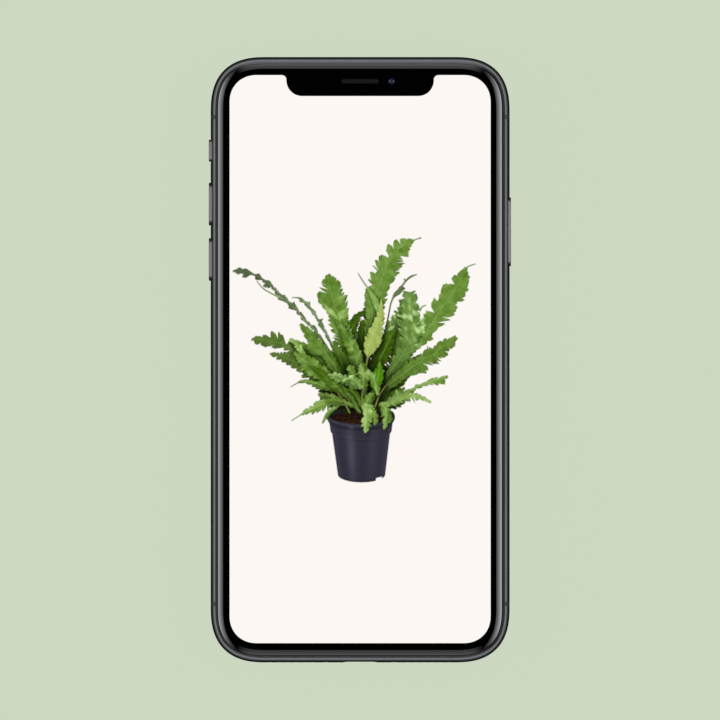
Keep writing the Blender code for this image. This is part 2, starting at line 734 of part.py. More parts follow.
def make_display_ribbon(material):
    """The flat cable that climbs in an S from the radio shield to the back of the display."""
    climb = RIBBON_HIGH - RIBBON_LOW - RIBBON_THICKNESS
    lower = []
    for step in range(RIBBON_STEPS + 1):
        share = step / RIBBON_STEPS
        rise = share * share * (3 - 2 * share)
        lower.append(Vector((RIBBON_RUN * (share - 0.5), RIBBON_LOW + climb * rise)))
    upper = [point + Vector((0, RIBBON_THICKNESS)) for point in reversed(lower)]
    section = lower + upper
    levels = [(0, -RIBBON_WIDTH / 2), (0, RIBBON_WIDTH / 2)]
    place = (RIBBON_X, RIBBON_Y, 0)
    turned = (math.radians(90), 0, 0)
    stacked("display_ribbon", lambda inset: section, levels, material, place, turned)


def make_bottom(materials, band):
    """The socket, screws, holes and what lies behind them along the bottom edge."""
    turned = (math.radians(90), 0, 0)
    bottom = band["bottom"]
    edge_y = -HALF_HEIGHT
    upright = stadium_ring(PORT_LENGTH, PORT_HEIGHT)

    def lying(inset):
        return [Vector((-point.y, point.x)) for point in upright(inset)]

    hole = stacked(
        "port_hole", lying, [(-0.12, -4), (-0.12, 4)], None, (0, edge_y, MID_Z), turned
    )
    cut(bottom, hole)
    shell = stacked(
        "charging_port",
        lying,
        [(0, -PORT_DEPTH), (0, -0.55), (0.06, -0.48)],
        materials["bright_steel"],
        (0, edge_y, MID_Z),
        turned,
    )
    cavity = stacked(
        "port_cavity",
        lying,
        [(PORT_WALL, -PORT_DEPTH + 0.9), (PORT_WALL, 2)],
        None,
        (0, edge_y, MID_Z),
        turned,
    )
    cut(shell, cavity)
    tongue_end = edge_y + PORT_DEPTH - 0.8
    tongue = block(
        "port_tongue",
        (-TONGUE_LENGTH / 2, tongue_end - TONGUE_REACH, MID_Z - TONGUE_HEIGHT / 2),
        (TONGUE_LENGTH / 2, tongue_end + 0.3, MID_Z + TONGUE_HEIGHT / 2),
        None,
        corner=0.4,
    )
    join(shell, tongue)

    for side, name in ((-1, "left"), (1, "right")):
        x = side * SCREW_X
        bore = stacked(
            "screw_hole_" + name,
            circle_ring(SCREW_HEAD_RADIUS + 0.08, 20),
            [(0, -1.3), (0, 2)],
            None,
            (x, edge_y, MID_Z),
            turned,
        )
        cut(bottom, bore)
        screw = stacked(
            "bottom_screw_" + name,
            circle_ring(SCREW_HEAD_RADIUS, 20),
            [(0, -1.2), (0, -0.4), (0.08, -0.3)],
            materials["dark_steel"],
            (x, edge_y, MID_Z),
            turned,
        )
        recess = stacked(
            "screw_recess_" + name,
            circle_ring(0.36, 6),
            [(0, -0.8), (0, 1)],
            None,
            (x, edge_y, MID_Z),
            turned,
        )
        cut(screw, recess)
        for index in range(HOLES_PER_SIDE):
            hole_x = side * (HOLES_START_X + HOLE_PITCH * index)
            vent = stacked(
                f"vent_{name}_{index}",
                circle_ring(HOLE_RADIUS, 14),
                [(0, -4), (0, 3)],
                None,
                (hole_x, edge_y, MID_Z),
                turned,
            )
            cut(bottom, vent)

    mesh_low, mesh_high = edge_y + BAND_WALL_INSET + 0.1, edge_y + BAND_WALL_INSET + 0.4
    reach = HOLE_PITCH * (HOLES_PER_SIDE - 1) + 2 * HOLE_RADIUS
    start = HOLES_START_X - HOLE_RADIUS
    fabric = materials["gasket"]
    low_z, high_z = MID_Z - MESH_HEIGHT / 2, MID_Z + MESH_HEIGHT / 2
    for name, near in (("loudspeaker_mesh", start), ("microphone_mesh", -start - reach)):
        block(name, (near, mesh_low, low_z), (near + reach, mesh_high, high_z), fabric, MESH_CORNER)


def main():
    clear_scene()
    materials = make_materials()
    band = make_band(materials)
    make_buttons(materials, band)
    make_card_tray(materials, band)
    make_front(materials)
    make_display(materials)
    make_sensors(materials)
    make_back(materials)
    make_rear_cameras(materials)
    make_inside(materials)
    make_bottom(materials, band)


main()
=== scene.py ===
import json
import math

import bmesh
import bpy
import numpy as np
from mathutils import Matrix, Vector


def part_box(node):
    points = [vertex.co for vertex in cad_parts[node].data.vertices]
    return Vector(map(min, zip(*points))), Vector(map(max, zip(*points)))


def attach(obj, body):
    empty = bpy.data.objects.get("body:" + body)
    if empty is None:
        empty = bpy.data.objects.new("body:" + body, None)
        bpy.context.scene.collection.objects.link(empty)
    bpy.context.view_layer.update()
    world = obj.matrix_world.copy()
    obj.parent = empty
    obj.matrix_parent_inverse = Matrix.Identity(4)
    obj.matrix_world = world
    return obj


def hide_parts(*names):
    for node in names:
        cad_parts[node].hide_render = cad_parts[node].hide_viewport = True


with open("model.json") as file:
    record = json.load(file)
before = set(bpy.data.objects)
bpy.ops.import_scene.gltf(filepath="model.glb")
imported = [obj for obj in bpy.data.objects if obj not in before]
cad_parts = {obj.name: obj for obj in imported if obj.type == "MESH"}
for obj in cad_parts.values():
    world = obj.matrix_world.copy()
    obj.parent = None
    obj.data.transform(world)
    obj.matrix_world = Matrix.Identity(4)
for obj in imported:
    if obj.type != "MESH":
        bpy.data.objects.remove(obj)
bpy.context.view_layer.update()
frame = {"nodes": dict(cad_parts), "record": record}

# The phone lies on its back: X to the right of the screen, Y to its top edge, Z out of it.
# Lengths are in millimetres here, and a mesh is made in metres.
MM = 0.001


def node_low(name):
    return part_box(name)[0] / MM


def node_high(name):
    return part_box(name)[1] / MM


def middle_of(name):
    return (node_low(name) + node_high(name)) / 2


# Sizes read from the frame
HALF_WIDTH = node_high("frame_right").x
HALF_HEIGHT = node_high("frame_top").y
THICKNESS = node_high("front_glass").z
MID_Z = THICKNESS / 2
GLASS_BOTTOM = node_low("front_glass").z
GLASS_EDGE_INSET = HALF_WIDTH - node_high("front_glass").x
BACK_GLASS_TOP = node_high("back_glass").z
BACK_EDGE_INSET = HALF_WIDTH - node_high("back_glass").x
GRILLE_TOP = node_high("earpiece_grille").z
CAMERA_X, SENSOR_Y = middle_of("front_camera").x, middle_of("front_camera").y

# The body's outline, its band and the curve of its glass edges
CORNER_REACH, CORNER_POWER, CORNER_STEPS = 13.2, 2.55, 48
BAND_LIP_INSET, BAND_RIM_INSET, BAND_WALL_INSET = 1.35, 1.80, 2.6
BAND_LEDGE_LOW, BAND_LEDGE_HIGH = 1.75, 5.95
BAND_SEAT_OUT, BAND_SEAT_IN = 6.76, 6.74  # heights of the glass's seat, at the rim and at the lip
BAND_RIM_EASE = 0.03
BAND_ARC_STEPS = 64
BAND_ARC_TOP = math.radians(47)
BREAK_GAP = 0.02
GLASS_FLAT_INSET = 3.24
EDGE_STEEP, EDGE_SHALLOW = math.radians(40), math.radians(7)
EDGE_STEPS = 20

# The lit area, with its notch, and what lies in the notch
SCREEN_X, SCREEN_Y = -0.012, 0.149
SCREEN_HALF_X, SCREEN_HALF_Y = 30.86, 67.16
SCREEN_REACH, SCREEN_POWER, SCREEN_CORNER_STEPS = 6.45, 2.14, 24
NOTCH_HALF_WIDTH, NOTCH_FLOOR_Y = 17.43, 62.355
NOTCH_CORNER, NOTCH_FILLET = 3.7, 1.1
SCREEN_FLOOR, SCREEN_TOP = 7.62, 7.68
SLIT_LENGTH, SLIT_HEIGHT = 8.9, 1.1
LENS_RADIUS, LENS_FLOOR = 1.04, 7.05
LENS_RING_TOP, DOME_BASE, DOME_RADIUS, DOME_CURVE = 7.42, 7.40, 0.42, 0.80
MESH_PITCH, MESH_HALF_PIT, MESH_PIT_DEPTH, MESH_ROWS = 0.30, 0.085, 0.15, 3

# Controls, the bottom edge and the tray
SLOT_GAP, SLOT_EASE = 0.08, 0.10
RING_TRAVEL = 1.1
FLANGE_MARGIN, FLANGE_THICKNESS = 0.35, 0.4
CAP_TAPER_START = 0.35  # depth below the band's side where a cap's taper begins
CAP_TAPER, CAP_CROWN, CAP_SOFTNESS = 0.13, 0.02, 0.15
HOLE_PITCH, HOLE_RADIUS, HOLES_START_X, HOLES_PER_SIDE = 2.0, 0.65, 11.2, 6
SCREW_X, SCREW_RADIUS, SCREW_GAP, SCREW_DEPTH = 8.1, 0.75, 0.08, 1.3
STAR_RADIUS, STAR_LOBES, STAR_LOBE, STAR_DEPTH = 0.34, 5, 0.075, 0.42
VENT_DEPTH = 4
PORT_LENGTH, PORT_HEIGHT, PORT_WALL, PORT_EASE = 9.0, 3.2, 0.32, 0.08
PORT_CLEARANCE = 0.12  # from the shell's outside to the band
PORT_FLOOR = 0.9  # thickness of the socket's back wall
SHELL_DEPTH = 0.50  # depth from which the bottom edge is cut wide enough for the port's shell
TONGUE_HALF_WIDTH, TONGUE_HALF_HEIGHT, TONGUE_REACH = 3.35, 0.35, 4.5
CONTACTS, CONTACT_PITCH = 8, 0.8
TRAY_DOOR_LENGTH, TRAY_DOOR_WIDTH, TRAY_DOOR_INNER = 14.6, 2.4, 33.2
DOOR_BLANK = 9, 2.2  # half the length and half the height of the band's piece the door is cut from
TRAY_LEDGE, TRAY_HALF_WIDTH, TRAY_HALF_THICKNESS, TRAY_CHAMFER = 1.0, 6.5, 0.5, 0.06
CARD_LENGTH, CARD_WIDTH, CARD_X, CARD_GAP = 12.3, 8.8, 25.4, 0.1
POCKET_DEPTH = 0.72
PIN_RADIUS, PIN_DEPTH, PIN_EASE, PIN_FROM_END = 0.45, 1.4, 0.08, 1.9

# The camera window on the back
LENS_WELL_RADIUS, FLASH_WELL_RADIUS, WINDOW_DEPTH = 3.3, 2.1, 0.5
WELL_GAP = 0.03
REAR_DOME_RADIUS, REAR_DOME_CURVE, REAR_DOME_BASE = 1.44, 2.6, -0.44
FLASH_RINGS = 7
WELLS = {
    "rear_camera_wide": LENS_WELL_RADIUS,
    "rear_camera_tele": LENS_WELL_RADIUS,
    "rear_flash": FLASH_WELL_RADIUS,
}

# Camera and ground
CAMERA_DISTANCE, CAMERA_LENS = 1186.1, 250.0
CAMERA_X_OFFSET, CAMERA_Y_OFFSET = -0.038, -0.060
GROUND = (204, 216, 192)
LIT_SCREEN = (252, 247, 243)
GROUND_ALBEDO, GROUND_GLOW = 0.04, 0.978
STAGE_REACH, GROUND_DROP = 3000.0, 0.2


def linear(display):
    """Linear values of colours given as display values of 0 to 255."""
    value = np.asarray(display, float) / 255
    return np.where(value <= 0.04045, value / 12.92, ((value + 0.055) / 1.055) ** 2.4)


# Shader graphs


class Graph:
    """Adds nodes to a node tree, with sockets or plain values as their inputs."""

    def __init__(self, tree):
        self.tree = tree

    def feed(self, socket, value):
        if isinstance(value, bpy.types.NodeSocket):
            self.tree.links.new(value, socket)
        else:
            socket.default_value = value

    def add(self, kind, inputs, output, **settings):
        """A new node's output, with the node's settings made before its inputs are fed."""
        node = self.tree.nodes.new(kind)
        for name, value in settings.items():
            setattr(node, name, value)
        for key, value in inputs.items():
            self.feed(node.inputs[key], value)
        return node.outputs[output]

    def math(self, operation, *values):
        return self.add("ShaderNodeMath", dict(enumerate(values)), 0, operation=operation)

    def times(self, first, second):
        return self.math("MULTIPLY", first, second)

    def ramp(self, value, low, high, start=0.0, end=1.0, kind="SMOOTHSTEP"):
        """Goes from start to end while the value goes from low to high."""
        inputs = {"Value": value, "From Min": low, "From Max": high, "To Min": start, "To Max": end}
        return self.add("ShaderNodeMapRange", inputs, "Result", interpolation_type=kind)

    def place(self, kind):
        return self.add("ShaderNodeTexCoord", {}, kind)

    def axes(self, vector):
        """The three parts of a vector."""
        axes = self.tree.nodes.new("ShaderNodeSeparateXYZ")
        self.feed(axes.inputs[0], vector)
        return axes.outputs

    def noise(self, scale, detail=3.0, stretch=(1, 1, 1)):
        """Noise in the piece's own coordinates, at so many waves to a metre."""
        place = {"Vector": self.place("Object"), "Scale": stretch}
        inputs = {"Vector": self.add("ShaderNodeMapping", place, "Vector"), "Scale": scale}
        return self.add("ShaderNodeTexNoise", {**inputs, "Detail": detail}, "Fac")

    def between(self, share, first, second):
        """A colour that goes from the first to the second."""
        inputs = {"Factor": share, "A": (*first, 1), "B": (*second, 1)}
        return self.add("ShaderNodeMix", inputs, "Result", data_type="RGBA")

    def by_angle(self, angle, stops):
        """A value in straight lines through stops, each an angle of -90 to 90 and a value."""
        made = self.tree.nodes.new("ShaderNodeValToRGB")
        self.feed(made.inputs["Fac"], self.ramp(angle, -90.0, 90.0, kind="LINEAR"))
        elements = made.color_ramp.elements
        elements.remove(elements[1])
        for index, (place, value) in enumerate(stops):
            share = (place + 90) / 180
            element = elements.new(share) if index else elements[0]
            element.position = share
            element.color = (value, value, value, 1)
        return made.outputs["Color"]

    def bump(self, height, strength, distance):
        inputs = {"Height": height, "Strength": strength, "Distance": distance}
        return self.add("ShaderNodeBump", inputs, "Normal")


def new_material(name, **values):
    """A material, its graph and its Principled shader, with the shader's own values set."""
    material = bpy.data.materials.new(name)
    material.use_nodes = True
    shader = material.node_tree.nodes["Principled BSDF"]
    for socket, value in values.items():
        shader.inputs[socket.replace("_", " ")].default_value = value
    return material, Graph(material.node_tree), shader


def set_roughness(graph, shader, low, high, scale, stretch=(1, 1, 1)):
    share = graph.noise(scale, 4.0, stretch)
    graph.feed(shader.inputs["Roughness"], graph.ramp(share, 0.3, 0.7, low, high, "LINEAR"))


def surface(name, colour, roughness, grain=None, stretch=(1, 1, 1), **values):
    """A material of (colour, variation, scale) and roughness (low, high, scale).

    Both wander a little with noise, and a grain of (scale, strength, depth) is bump.
    """
    material, graph, shader = new_material(name, **values)
    middle, variation, scale = colour
    low = [c * (1 - variation) for c in middle]
    high = [c * (1 + variation) for c in middle]
    colours = graph.between(graph.noise(scale, 4, stretch), low, high)
    graph.feed(shader.inputs["Base Color"], colours)
    set_roughness(graph, shader, *roughness, stretch)
    if grain:
        waves, strength, depth = grain
        height = graph.noise(waves, 3, stretch)
        graph.feed(shader.inputs["Normal"], graph.bump(height, strength, depth))
    return material


# Materials


STEEL_COLOUR = (0.245, 0.240, 0.262)
STEEL_GRAZING = (0.45, 0.45, 0.45, 1.0)
BUTTON_COLOUR = (0.80, 0.80, 0.82)
# Painted shade on the buttons' steel: for an axis, the normal's shares between which it darkens,
# and the least
BUTTON_PAINTED_SHADE = {"X": (0.2, 0.55, 0.28), "Y": (0.0, 0.6, 0.12)}
BREAK_COLOUR = (0.020, 0.020, 0.022)
SCREEN_IOR, EDGE_IOR, FLAT_IOR = 1.38, 2.6, 1.45
BLACK_PRINT = (0.0012, 0.0012, 0.0014)
DRAWN = (1, 12, 12)  # stretch of a drawn metal's grain
PICTURE_LAYER = "picture"


def polished_steel():
    """The dark steel of the band: mirror-like, with the faint haze of handling."""
    haze = (0.07, 0.10, 600)
    metal = {"Metallic": 1.0, "Specular_Tint": STEEL_GRAZING}
    return surface("polished_dark_steel", (STEEL_COLOUR, 0.03, 300), haze, **metal)


def satin_steel():
    """The buttons' steel, blasted to an even grain, with painted shade at a cap's ends and outer
    face.
    """
    material, graph, shader = new_material(
        "satin_dark_steel", Metallic=1.0, Specular_Tint=STEEL_GRAZING
    )
    normal = graph.axes(graph.place("Normal"))
    shade = graph.ramp(graph.noise(2500, 4), 0.3, 0.7, 0.93, 1.0, "LINEAR")
    # Painted shade: the steel darkens where the normal turns towards a cap's ends and its outer
    # face
    for axis, (low, high, least) in BUTTON_PAINTED_SHADE.items():
        tilt = graph.math("ABSOLUTE", normal[axis])
        shade = graph.times(shade, graph.ramp(tilt, low, high, 1.0, least))
    graph.feed(shader.inputs["Base Color"], graph.between(shade, (0, 0, 0), BUTTON_COLOUR))
    set_roughness(graph, shader, 0.62, 0.70, 3000)
    graph.feed(shader.inputs["Normal"], graph.bump(graph.noise(12000, 2), 0.08, 0.00002))
    return material


def plain_metal(name, colour, low, high, stretch=(1, 1, 1)):
    """Bare metal with a drawn or rolled grain."""
    grain = (4000, 0.1, 0.00002)
    return surface(name, (colour, 0.08, 1500), (low, high, 2500), grain, stretch, Metallic=1.0)


def plain_plastic(name, colour, low, high, grain=0.15, ior=1.5):
    """Moulded plastic with a fine spark-eroded grain."""
    return surface(name, (colour, 0.10, 900), (low, high, 1500), (9000, grain, 0.00003), IOR=ior)


def black_glass(name, ior):
    """Glass printed black behind, so that only its own gloss shows."""
    return surface(name, (BLACK_PRINT, 0.3, 200), (0.015, 0.035, 60), IOR=ior)


def lens_coating(name, colour, ior):
    """A lens with a tinted coating."""
    return surface(name, (colour, 0.25, 400), (0.01, 0.03, 800), IOR=ior)


def lit_material(name):
    """A dark sheet under glass that gives light of its own, with its colour still to be linked."""
    material, graph, shader = new_material(name, IOR=SCREEN_IOR, Emission_Strength=1.0)
    shader.inputs["Base Color"].default_value = (0.001, 0.001, 0.001, 1)
    set_roughness(graph, shader, 0.02, 0.05, 80)
    material.cycles.emission_sampling = "NONE"
    return material, graph, shader.inputs["Emission Color"]


def lit_screen():
    """The display's plain ground, lit evenly, under the gloss of its glass."""
    material, graph, emission = lit_material("lit_screen")
    colour = linear(LIT_SCREEN)
    graph.feed(emission, graph.between(graph.noise(120), colour * 0.9985, colour * 1.0015))
    return material


def lit_picture():
    """The picture's colours, kept on the mesh, under the same gloss."""
    material, graph, emission = lit_material("lit_picture")
    colours = graph.add("ShaderNodeAttribute", {}, "Color", attribute_name=PICTURE_LAYER)
    graph.feed(emission, colours)
    return material


def circuit_board_material():
    """Dark blue solder mask with paler tracks under it."""
    material, graph, shader = new_material("board_solder_mask", IOR=1.5)
    colours = {
        "Color1": (0.02, 0.045, 0.10, 1),
        "Color2": (0.03, 0.065, 0.13, 1),
        "Mortar": (0.05, 0.10, 0.17, 1),
    }
    inputs = {"Vector": graph.place("Object"), "Scale": 900, **colours}
    graph.feed(shader.inputs["Base Color"], graph.add("ShaderNodeTexBrick", inputs, "Color"))
    set_roughness(graph, shader, 0.35, 0.55, 1200)
    return material


def make_materials():
    return {
        "dark_steel": polished_steel(),
        "satin_steel": satin_steel(),
        "antenna_plastic": plain_plastic("break_plastic", BREAK_COLOUR, 0.12, 0.18, 0.03, 1.75),
        "gasket": plain_plastic("gasket_rubber", (0.012, 0.012, 0.013), 0.55, 0.7),
        "cover_glass": black_glass("cover_glass_flat", FLAT_IOR),
        "glass_edge": black_glass("cover_glass_edge", EDGE_IOR),
        "back_glass": black_glass("back_glass", FLAT_IOR),
        "display": lit_screen(),
        "picture": lit_picture(),
        "aluminium": plain_metal("milled_aluminium", (0.62, 0.63, 0.65), 0.3, 0.42, DRAWN),
        "bright_steel": plain_metal("pressed_steel", (0.70, 0.70, 0.71), 0.22, 0.34, DRAWN),
        "black_plastic": plain_plastic("black_plastic", (0.022, 0.022, 0.024), 0.42, 0.55),
        "lens_glass": lens_coating("lens_blue", (0.004, 0.010, 0.045), 1.9),
        "lens_violet": lens_coating("lens_violet", (0.012, 0.006, 0.03), 1.9),
        "battery_wrap": plain_plastic("battery_wrap", (0.045, 0.045, 0.05), 0.4, 0.6),
        "circuit_board": circuit_board_material(),
        "copper": plain_metal("wound_copper", (0.72, 0.38, 0.20), 0.25, 0.4, DRAWN),
        "flex": plain_plastic("amber_film", (0.30, 0.15, 0.05), 0.35, 0.5),
        "card_plastic": plain_plastic("white_card", (0.8, 0.8, 0.79), 0.35, 0.45, 0.05),
        "woven_mesh": plain_plastic("woven_mesh", (0.016, 0.016, 0.017), 0.5, 0.65),
        "gold": plain_metal("gold_contact", (0.83, 0.60, 0.26), 0.2, 0.3),
        "led": lens_coating("flash_phosphor", (0.72, 0.62, 0.30), 1.5),
    }


# Outlines in the plane: a station is a point and its outward normal


def rounded_corner(centre, start_angle, reach, steps, power):
    """One corner of a rounded rectangle, a quarter of a superellipse."""
    found = []
    turn = Matrix.Rotation(math.radians(start_angle), 2)
    for step in range(steps + 1):
        angle = math.pi / 2 * step / steps
        along, across = math.cos(angle), math.sin(angle)
        point = Vector((along ** (2 / power), across ** (2 / power))) * reach
        normal = Vector((along ** (2 - 2 / power), across ** (2 - 2 / power))).normalized()
        found.append((Vector(centre) + turn @ point, turn @ normal))
    return found


def rounded_rectangle(half_width, half_height, reach, steps, power):
    x, y = half_width - reach, half_height - reach
    found = []
    for centre, angle in (((x, y), 0), ((-x, y), 90), ((-x, -y), 180), ((x, -y), 270)):
        found += rounded_corner(centre, angle, reach, steps, power)
    return found


BODY_OUTLINE = rounded_rectangle(HALF_WIDTH, HALF_HEIGHT, CORNER_REACH, CORNER_STEPS, CORNER_POWER)


def moved_in(stations, inset):
    return [point - normal * inset for point, normal in stations]


def ring_of(stations):
    """A function from an inset to the outline's points."""
    return lambda inset: moved_in(stations, inset)


def stadium_ring(length, width, steps=24):
    """A stadium's outline, with its long side along Y."""
    radius = width / 2
    end = length / 2 - radius
    stations = []
    for middle, first in ((end, 0), (-end, 180)):
        for step in range(steps + 1):
            angle = math.radians(first + 180 * step / steps)
            normal = Vector((math.cos(angle), math.sin(angle)))
            stations.append((Vector((0, middle)) + normal * radius, normal))
    return ring_of(stations)


def box_ring(half_width, half_height, corner, steps=8):
    return ring_of(rounded_rectangle(half_width, half_height, corner, steps, 2.0))


def circle_ring(radius, steps=40, lobes=0, lobe_depth=0.0):
    """A circle, or with lobes a round star such as a screw's socket."""
    stations = []
    for step in range(steps):
        angle = 2 * math.pi * step / steps
        normal = Vector((math.cos(angle), math.sin(angle)))
        stations.append((normal * (radius + lobe_depth * math.cos(lobes * angle)), normal))
    return ring_of(stations)


def lying(ring):
    """The same outline with its long side along X."""
    return lambda inset: [Vector((-p.y, p.x)) for p in ring(inset)]


def arc_points(centre, radius, first, last, steps):
    """Points of a round arc between two angles in degrees."""
    found = []
    for step in range(steps + 1):
        angle = math.radians(first + (last - first) * step / steps)
        point = centre[0] + radius * math.cos(angle), centre[1] + radius * math.sin(angle)
        found.append(Vector(point))
    return found


def screen_outline():
    """The lit area's outline, with the notch let into its top edge."""
    steps = SCREEN_CORNER_STEPS
    corners = rounded_rectangle(SCREEN_HALF_X, SCREEN_HALF_Y, SCREEN_REACH, steps, SCREEN_POWER)
    points = moved_in(corners, 0)
    after_first = steps + 1
    top, side, floor = SCREEN_HALF_Y, NOTCH_HALF_WIDTH, NOTCH_FLOOR_Y - SCREEN_Y
    fillet, corner = NOTCH_FILLET, NOTCH_CORNER
    notch = arc_points((side + fillet, top - fillet), fillet, 90, 180, 8)
    notch += arc_points((side - corner, floor + corner), corner, 0, -90, 16)
    notch += arc_points((corner - side, floor + corner), corner, -90, -180, 16)
    notch += arc_points((-side - fillet, top - fillet), fillet, 0, 90, 8)
    middle = Vector((SCREEN_X, SCREEN_Y))
    return [middle + point for point in points[:after_first] + notch + points[after_first:]]


# Places


def at(x, y, z=0):
    return Matrix.Translation((x, y, z))


def from_side(side, y, z=MID_Z):
    """Turns a shape's own Z to the outside of the left (-1) or right (1) edge."""
    return at(0, y, z) @ Matrix.Rotation(math.radians(90 * side), 4, "Y")


def from_bottom(x):
    """Turns a shape's own Z to the outside of the bottom edge, with its Y to the front."""
    return at(x, -HALF_HEIGHT, MID_Z) @ Matrix.Rotation(math.radians(90), 4, "X")


def from_back(node):
    """Turns a shape's own Z out of the back, over the middle of a node."""
    middle = middle_of(node)
    return at(middle.x, middle.y) @ Matrix.Rotation(math.pi, 4, "X")


def below_bottom(y):
    """How far a place lies outside the bottom edge."""
    return -(y + HALF_HEIGHT)


# Solids


def loop_of(bm, points, height, matrix):
    return [bm.verts.new((matrix @ Vector((p.x, p.y, height))) * MM) for p in points]


def wall_between(bm, lower, upper):
    """Faces between two closed loops of equal length."""
    made = []
    for index in range(len(lower)):
        after = (index + 1) % len(lower)
        made.append(bm.faces.new((lower[index], lower[after], upper[after], upper[index])))
    return made


def walls(bm, ring, levels, matrix=Matrix(), material=0):
    """Walls through one outline at several levels, each an (inset, height): the loops."""
    loops = [loop_of(bm, ring(inset), height, matrix) for inset, height in levels]
    for lower, upper in zip(loops, loops[1:]):
        for face in wall_between(bm, lower, upper):
            face.material_index = material
    return loops


def fill_between(bm, *loops):
    """Flat faces that fill the first loop, less the others inside it."""
    edges = []
    for loop in loops:
        for first, second in zip(loop, loop[1:] + loop[:1]):
            edges.append(bm.edges.get((first, second)) or bm.edges.new((first, second)))
    bmesh.ops.triangle_fill(bm, use_beauty=True, edges=edges)


def stack(bm, ring, levels, matrix=Matrix()):
    """A closed solid through one outline at several levels."""
    loops = walls(bm, ring, levels, matrix)
    bm.faces.new(loops[0])
    bm.faces.new(loops[-1])


def turned(bm, profile, matrix, steps=48):
    """A closed solid turned round its own Z axis, from (radius, height) points."""
    stack(bm, lambda radius: circle_ring(radius, steps)(0), profile, matrix)


def turned_ring(bm, section, matrix, steps=64):
    """A ring turned round its own Z axis from a closed section of (radius, height) points."""
    rings = [loop_of(bm, circle_ring(radius, steps)(0), z, matrix) for radius, z in section]
    for first, second in zip(rings, rings[1:] + rings[:1]):
        wall_between(bm, first, second)


def dome_points(radius, curve, base, steps, least):
    """Profile of a dome of the given curve, from its rim at height base to nearly its axis."""
    rise = math.sqrt(curve**2 - radius**2)
    found = []
    for step in range(steps + 1):
        r = radius * (1 - step / steps) + least
        found.append((r, base + math.sqrt(curve**2 - r**2) - rise))
    return found


def sweep(bm, stations, profile):
    """A solid whose cross-section, as (inset, height) points, follows the stations."""
    rings = []
    for point, normal in stations:
        places = [(point - normal * inset, height) for inset, height in profile]
        rings.append([bm.verts.new(Vector((p.x, p.y, height)) * MM) for p, height in places])
    for first, second in zip(rings, rings[1:]):
        wall_between(bm, first, second)
    bm.faces.new(rings[0])
    bm.faces.new(rings[-1])


def new_object(name, mesh):
    obj = bpy.data.objects.new(name, mesh)
    bpy.context.scene.collection.objects.link(obj)
    return obj


def object_from(name, bm, outward=True):
    if outward:
        bmesh.ops.recalc_face_normals(bm, faces=bm.faces)
    mesh = bpy.data.meshes.new(name)
    bm.to_mesh(mesh)
    bm.free()
    return new_object(name, mesh)


def built(name, build, *given):
    """An object made by one of the functions above."""
    bm = bmesh.new()
    build(bm, *given)
    return object_from(name, bm)


def carve(obj, *cutters, operation="DIFFERENCE"):
    """Applies a Boolean with each cutter, and removes the cutters."""
    for cutter in cutters:
        change = obj.modifiers.new(cutter.name, "BOOLEAN")
        change.operation = operation
        change.object = cutter
    evaluated = obj.evaluated_get(bpy.context.evaluated_depsgraph_get())
    mesh = bpy.data.meshes.new_from_object(evaluated)
    obj.modifiers.clear()
    obj.data = mesh
    for cutter in cutters:
        bpy.data.objects.remove(cutter)


MATERIALS = {}


def finish_piece(obj, look, replaced=None, body="phone", sharp=30.0, edge=None):
    """Shades the piece, gives it its material, or two, and lets it ride on its body."""
    obj.data.shade_smooth()
    obj.data.set_sharp_from_angle(angle=math.radians(sharp))
    for name in filter(None, (look, edge)):
        obj.data.materials.append(MATERIALS[name])
    if replaced:
        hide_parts(replaced)
    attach(obj, body)


# The steel band and its plastic breaks


def band_profile():
    """The band's section: its round outer side, its rim at the front glass and its ledges."""
    low_reach = math.acos(1 - BAND_LIP_INSET / MID_Z)
    outer = []
    for step in range(BAND_ARC_STEPS + 1):
        angle = -low_reach + (low_reach + BAND_ARC_TOP) * step / BAND_ARC_STEPS
        outer.append((MID_Z - MID_Z * math.cos(angle), MID_Z + MID_Z * math.sin(angle)))
    last_inset, last_height = outer[-1]
    eased = BAND_RIM_INSET - BAND_RIM_EASE
    rim_height = last_height + (eased - last_inset) / math.tan(BAND_ARC_TOP)
    return outer + [
        (eased, rim_height),
        (BAND_RIM_INSET, rim_height - BAND_RIM_EASE),
        (BAND_RIM_INSET, BAND_SEAT_OUT),
        (BAND_LIP_INSET, BAND_SEAT_IN),
        (BAND_LIP_INSET, BAND_LEDGE_HIGH),
        (BAND_WALL_INSET, BAND_LEDGE_HIGH),
        (BAND_WALL_INSET, BAND_LEDGE_LOW),
        (BAND_LIP_INSET, BAND_LEDGE_LOW),
    ]


def straight_stations(x, *ends):
    normal = Vector((math.copysign(1, x), 0))
    return [(Vector((x, y)), normal) for y in ends]


def end_stations(sign, start_y):
    """Stations round the top (sign 1) or bottom (sign -1) of the body, between two breaks."""
    curved = [item for item in BODY_OUTLINE if item[0].y * sign > start_y * sign]
    curved.sort(key=lambda item: math.atan2(item[0].x, item[0].y * sign))
    first, last = (straight_stations(x, start_y) for x in (-HALF_WIDTH, HALF_WIDTH))
    return first + curved + last


def make_breaks():
    for side, x in (("left", -HALF_WIDTH), ("right", HALF_WIDTH)):
        for level in ("upper", "lower"):
            name = f"break_{level}_{side}"
            node = "antenna_" + name
            ends = node_low(node).y, node_high(node).y
            obj = built(name, sweep, straight_stations(x, *ends), band_profile())
            finish_piece(obj, "antenna_plastic", replaced=node)


def slot_cutter(ring, side, y):
    """A cutter through a side rail, with its outer edge eased."""
    eased = -SLOT_GAP - SLOT_EASE
    levels = [(-SLOT_GAP, HALF_WIDTH - 2 * BAND_WALL_INSET), (-SLOT_GAP, HALF_WIDTH - 0.06)]
    levels += [(eased, HALF_WIDTH + 0.04), (eased, HALF_WIDTH + 1)]
    return built("slot", stack, ring, levels, from_side(side, y))


def bore_levels(depth, ease):
    """Levels of a bore's cutter, with its outer edge eased."""
    return [(0, -depth), (0, -ease), (-ease, 0.02), (-ease, 1)]


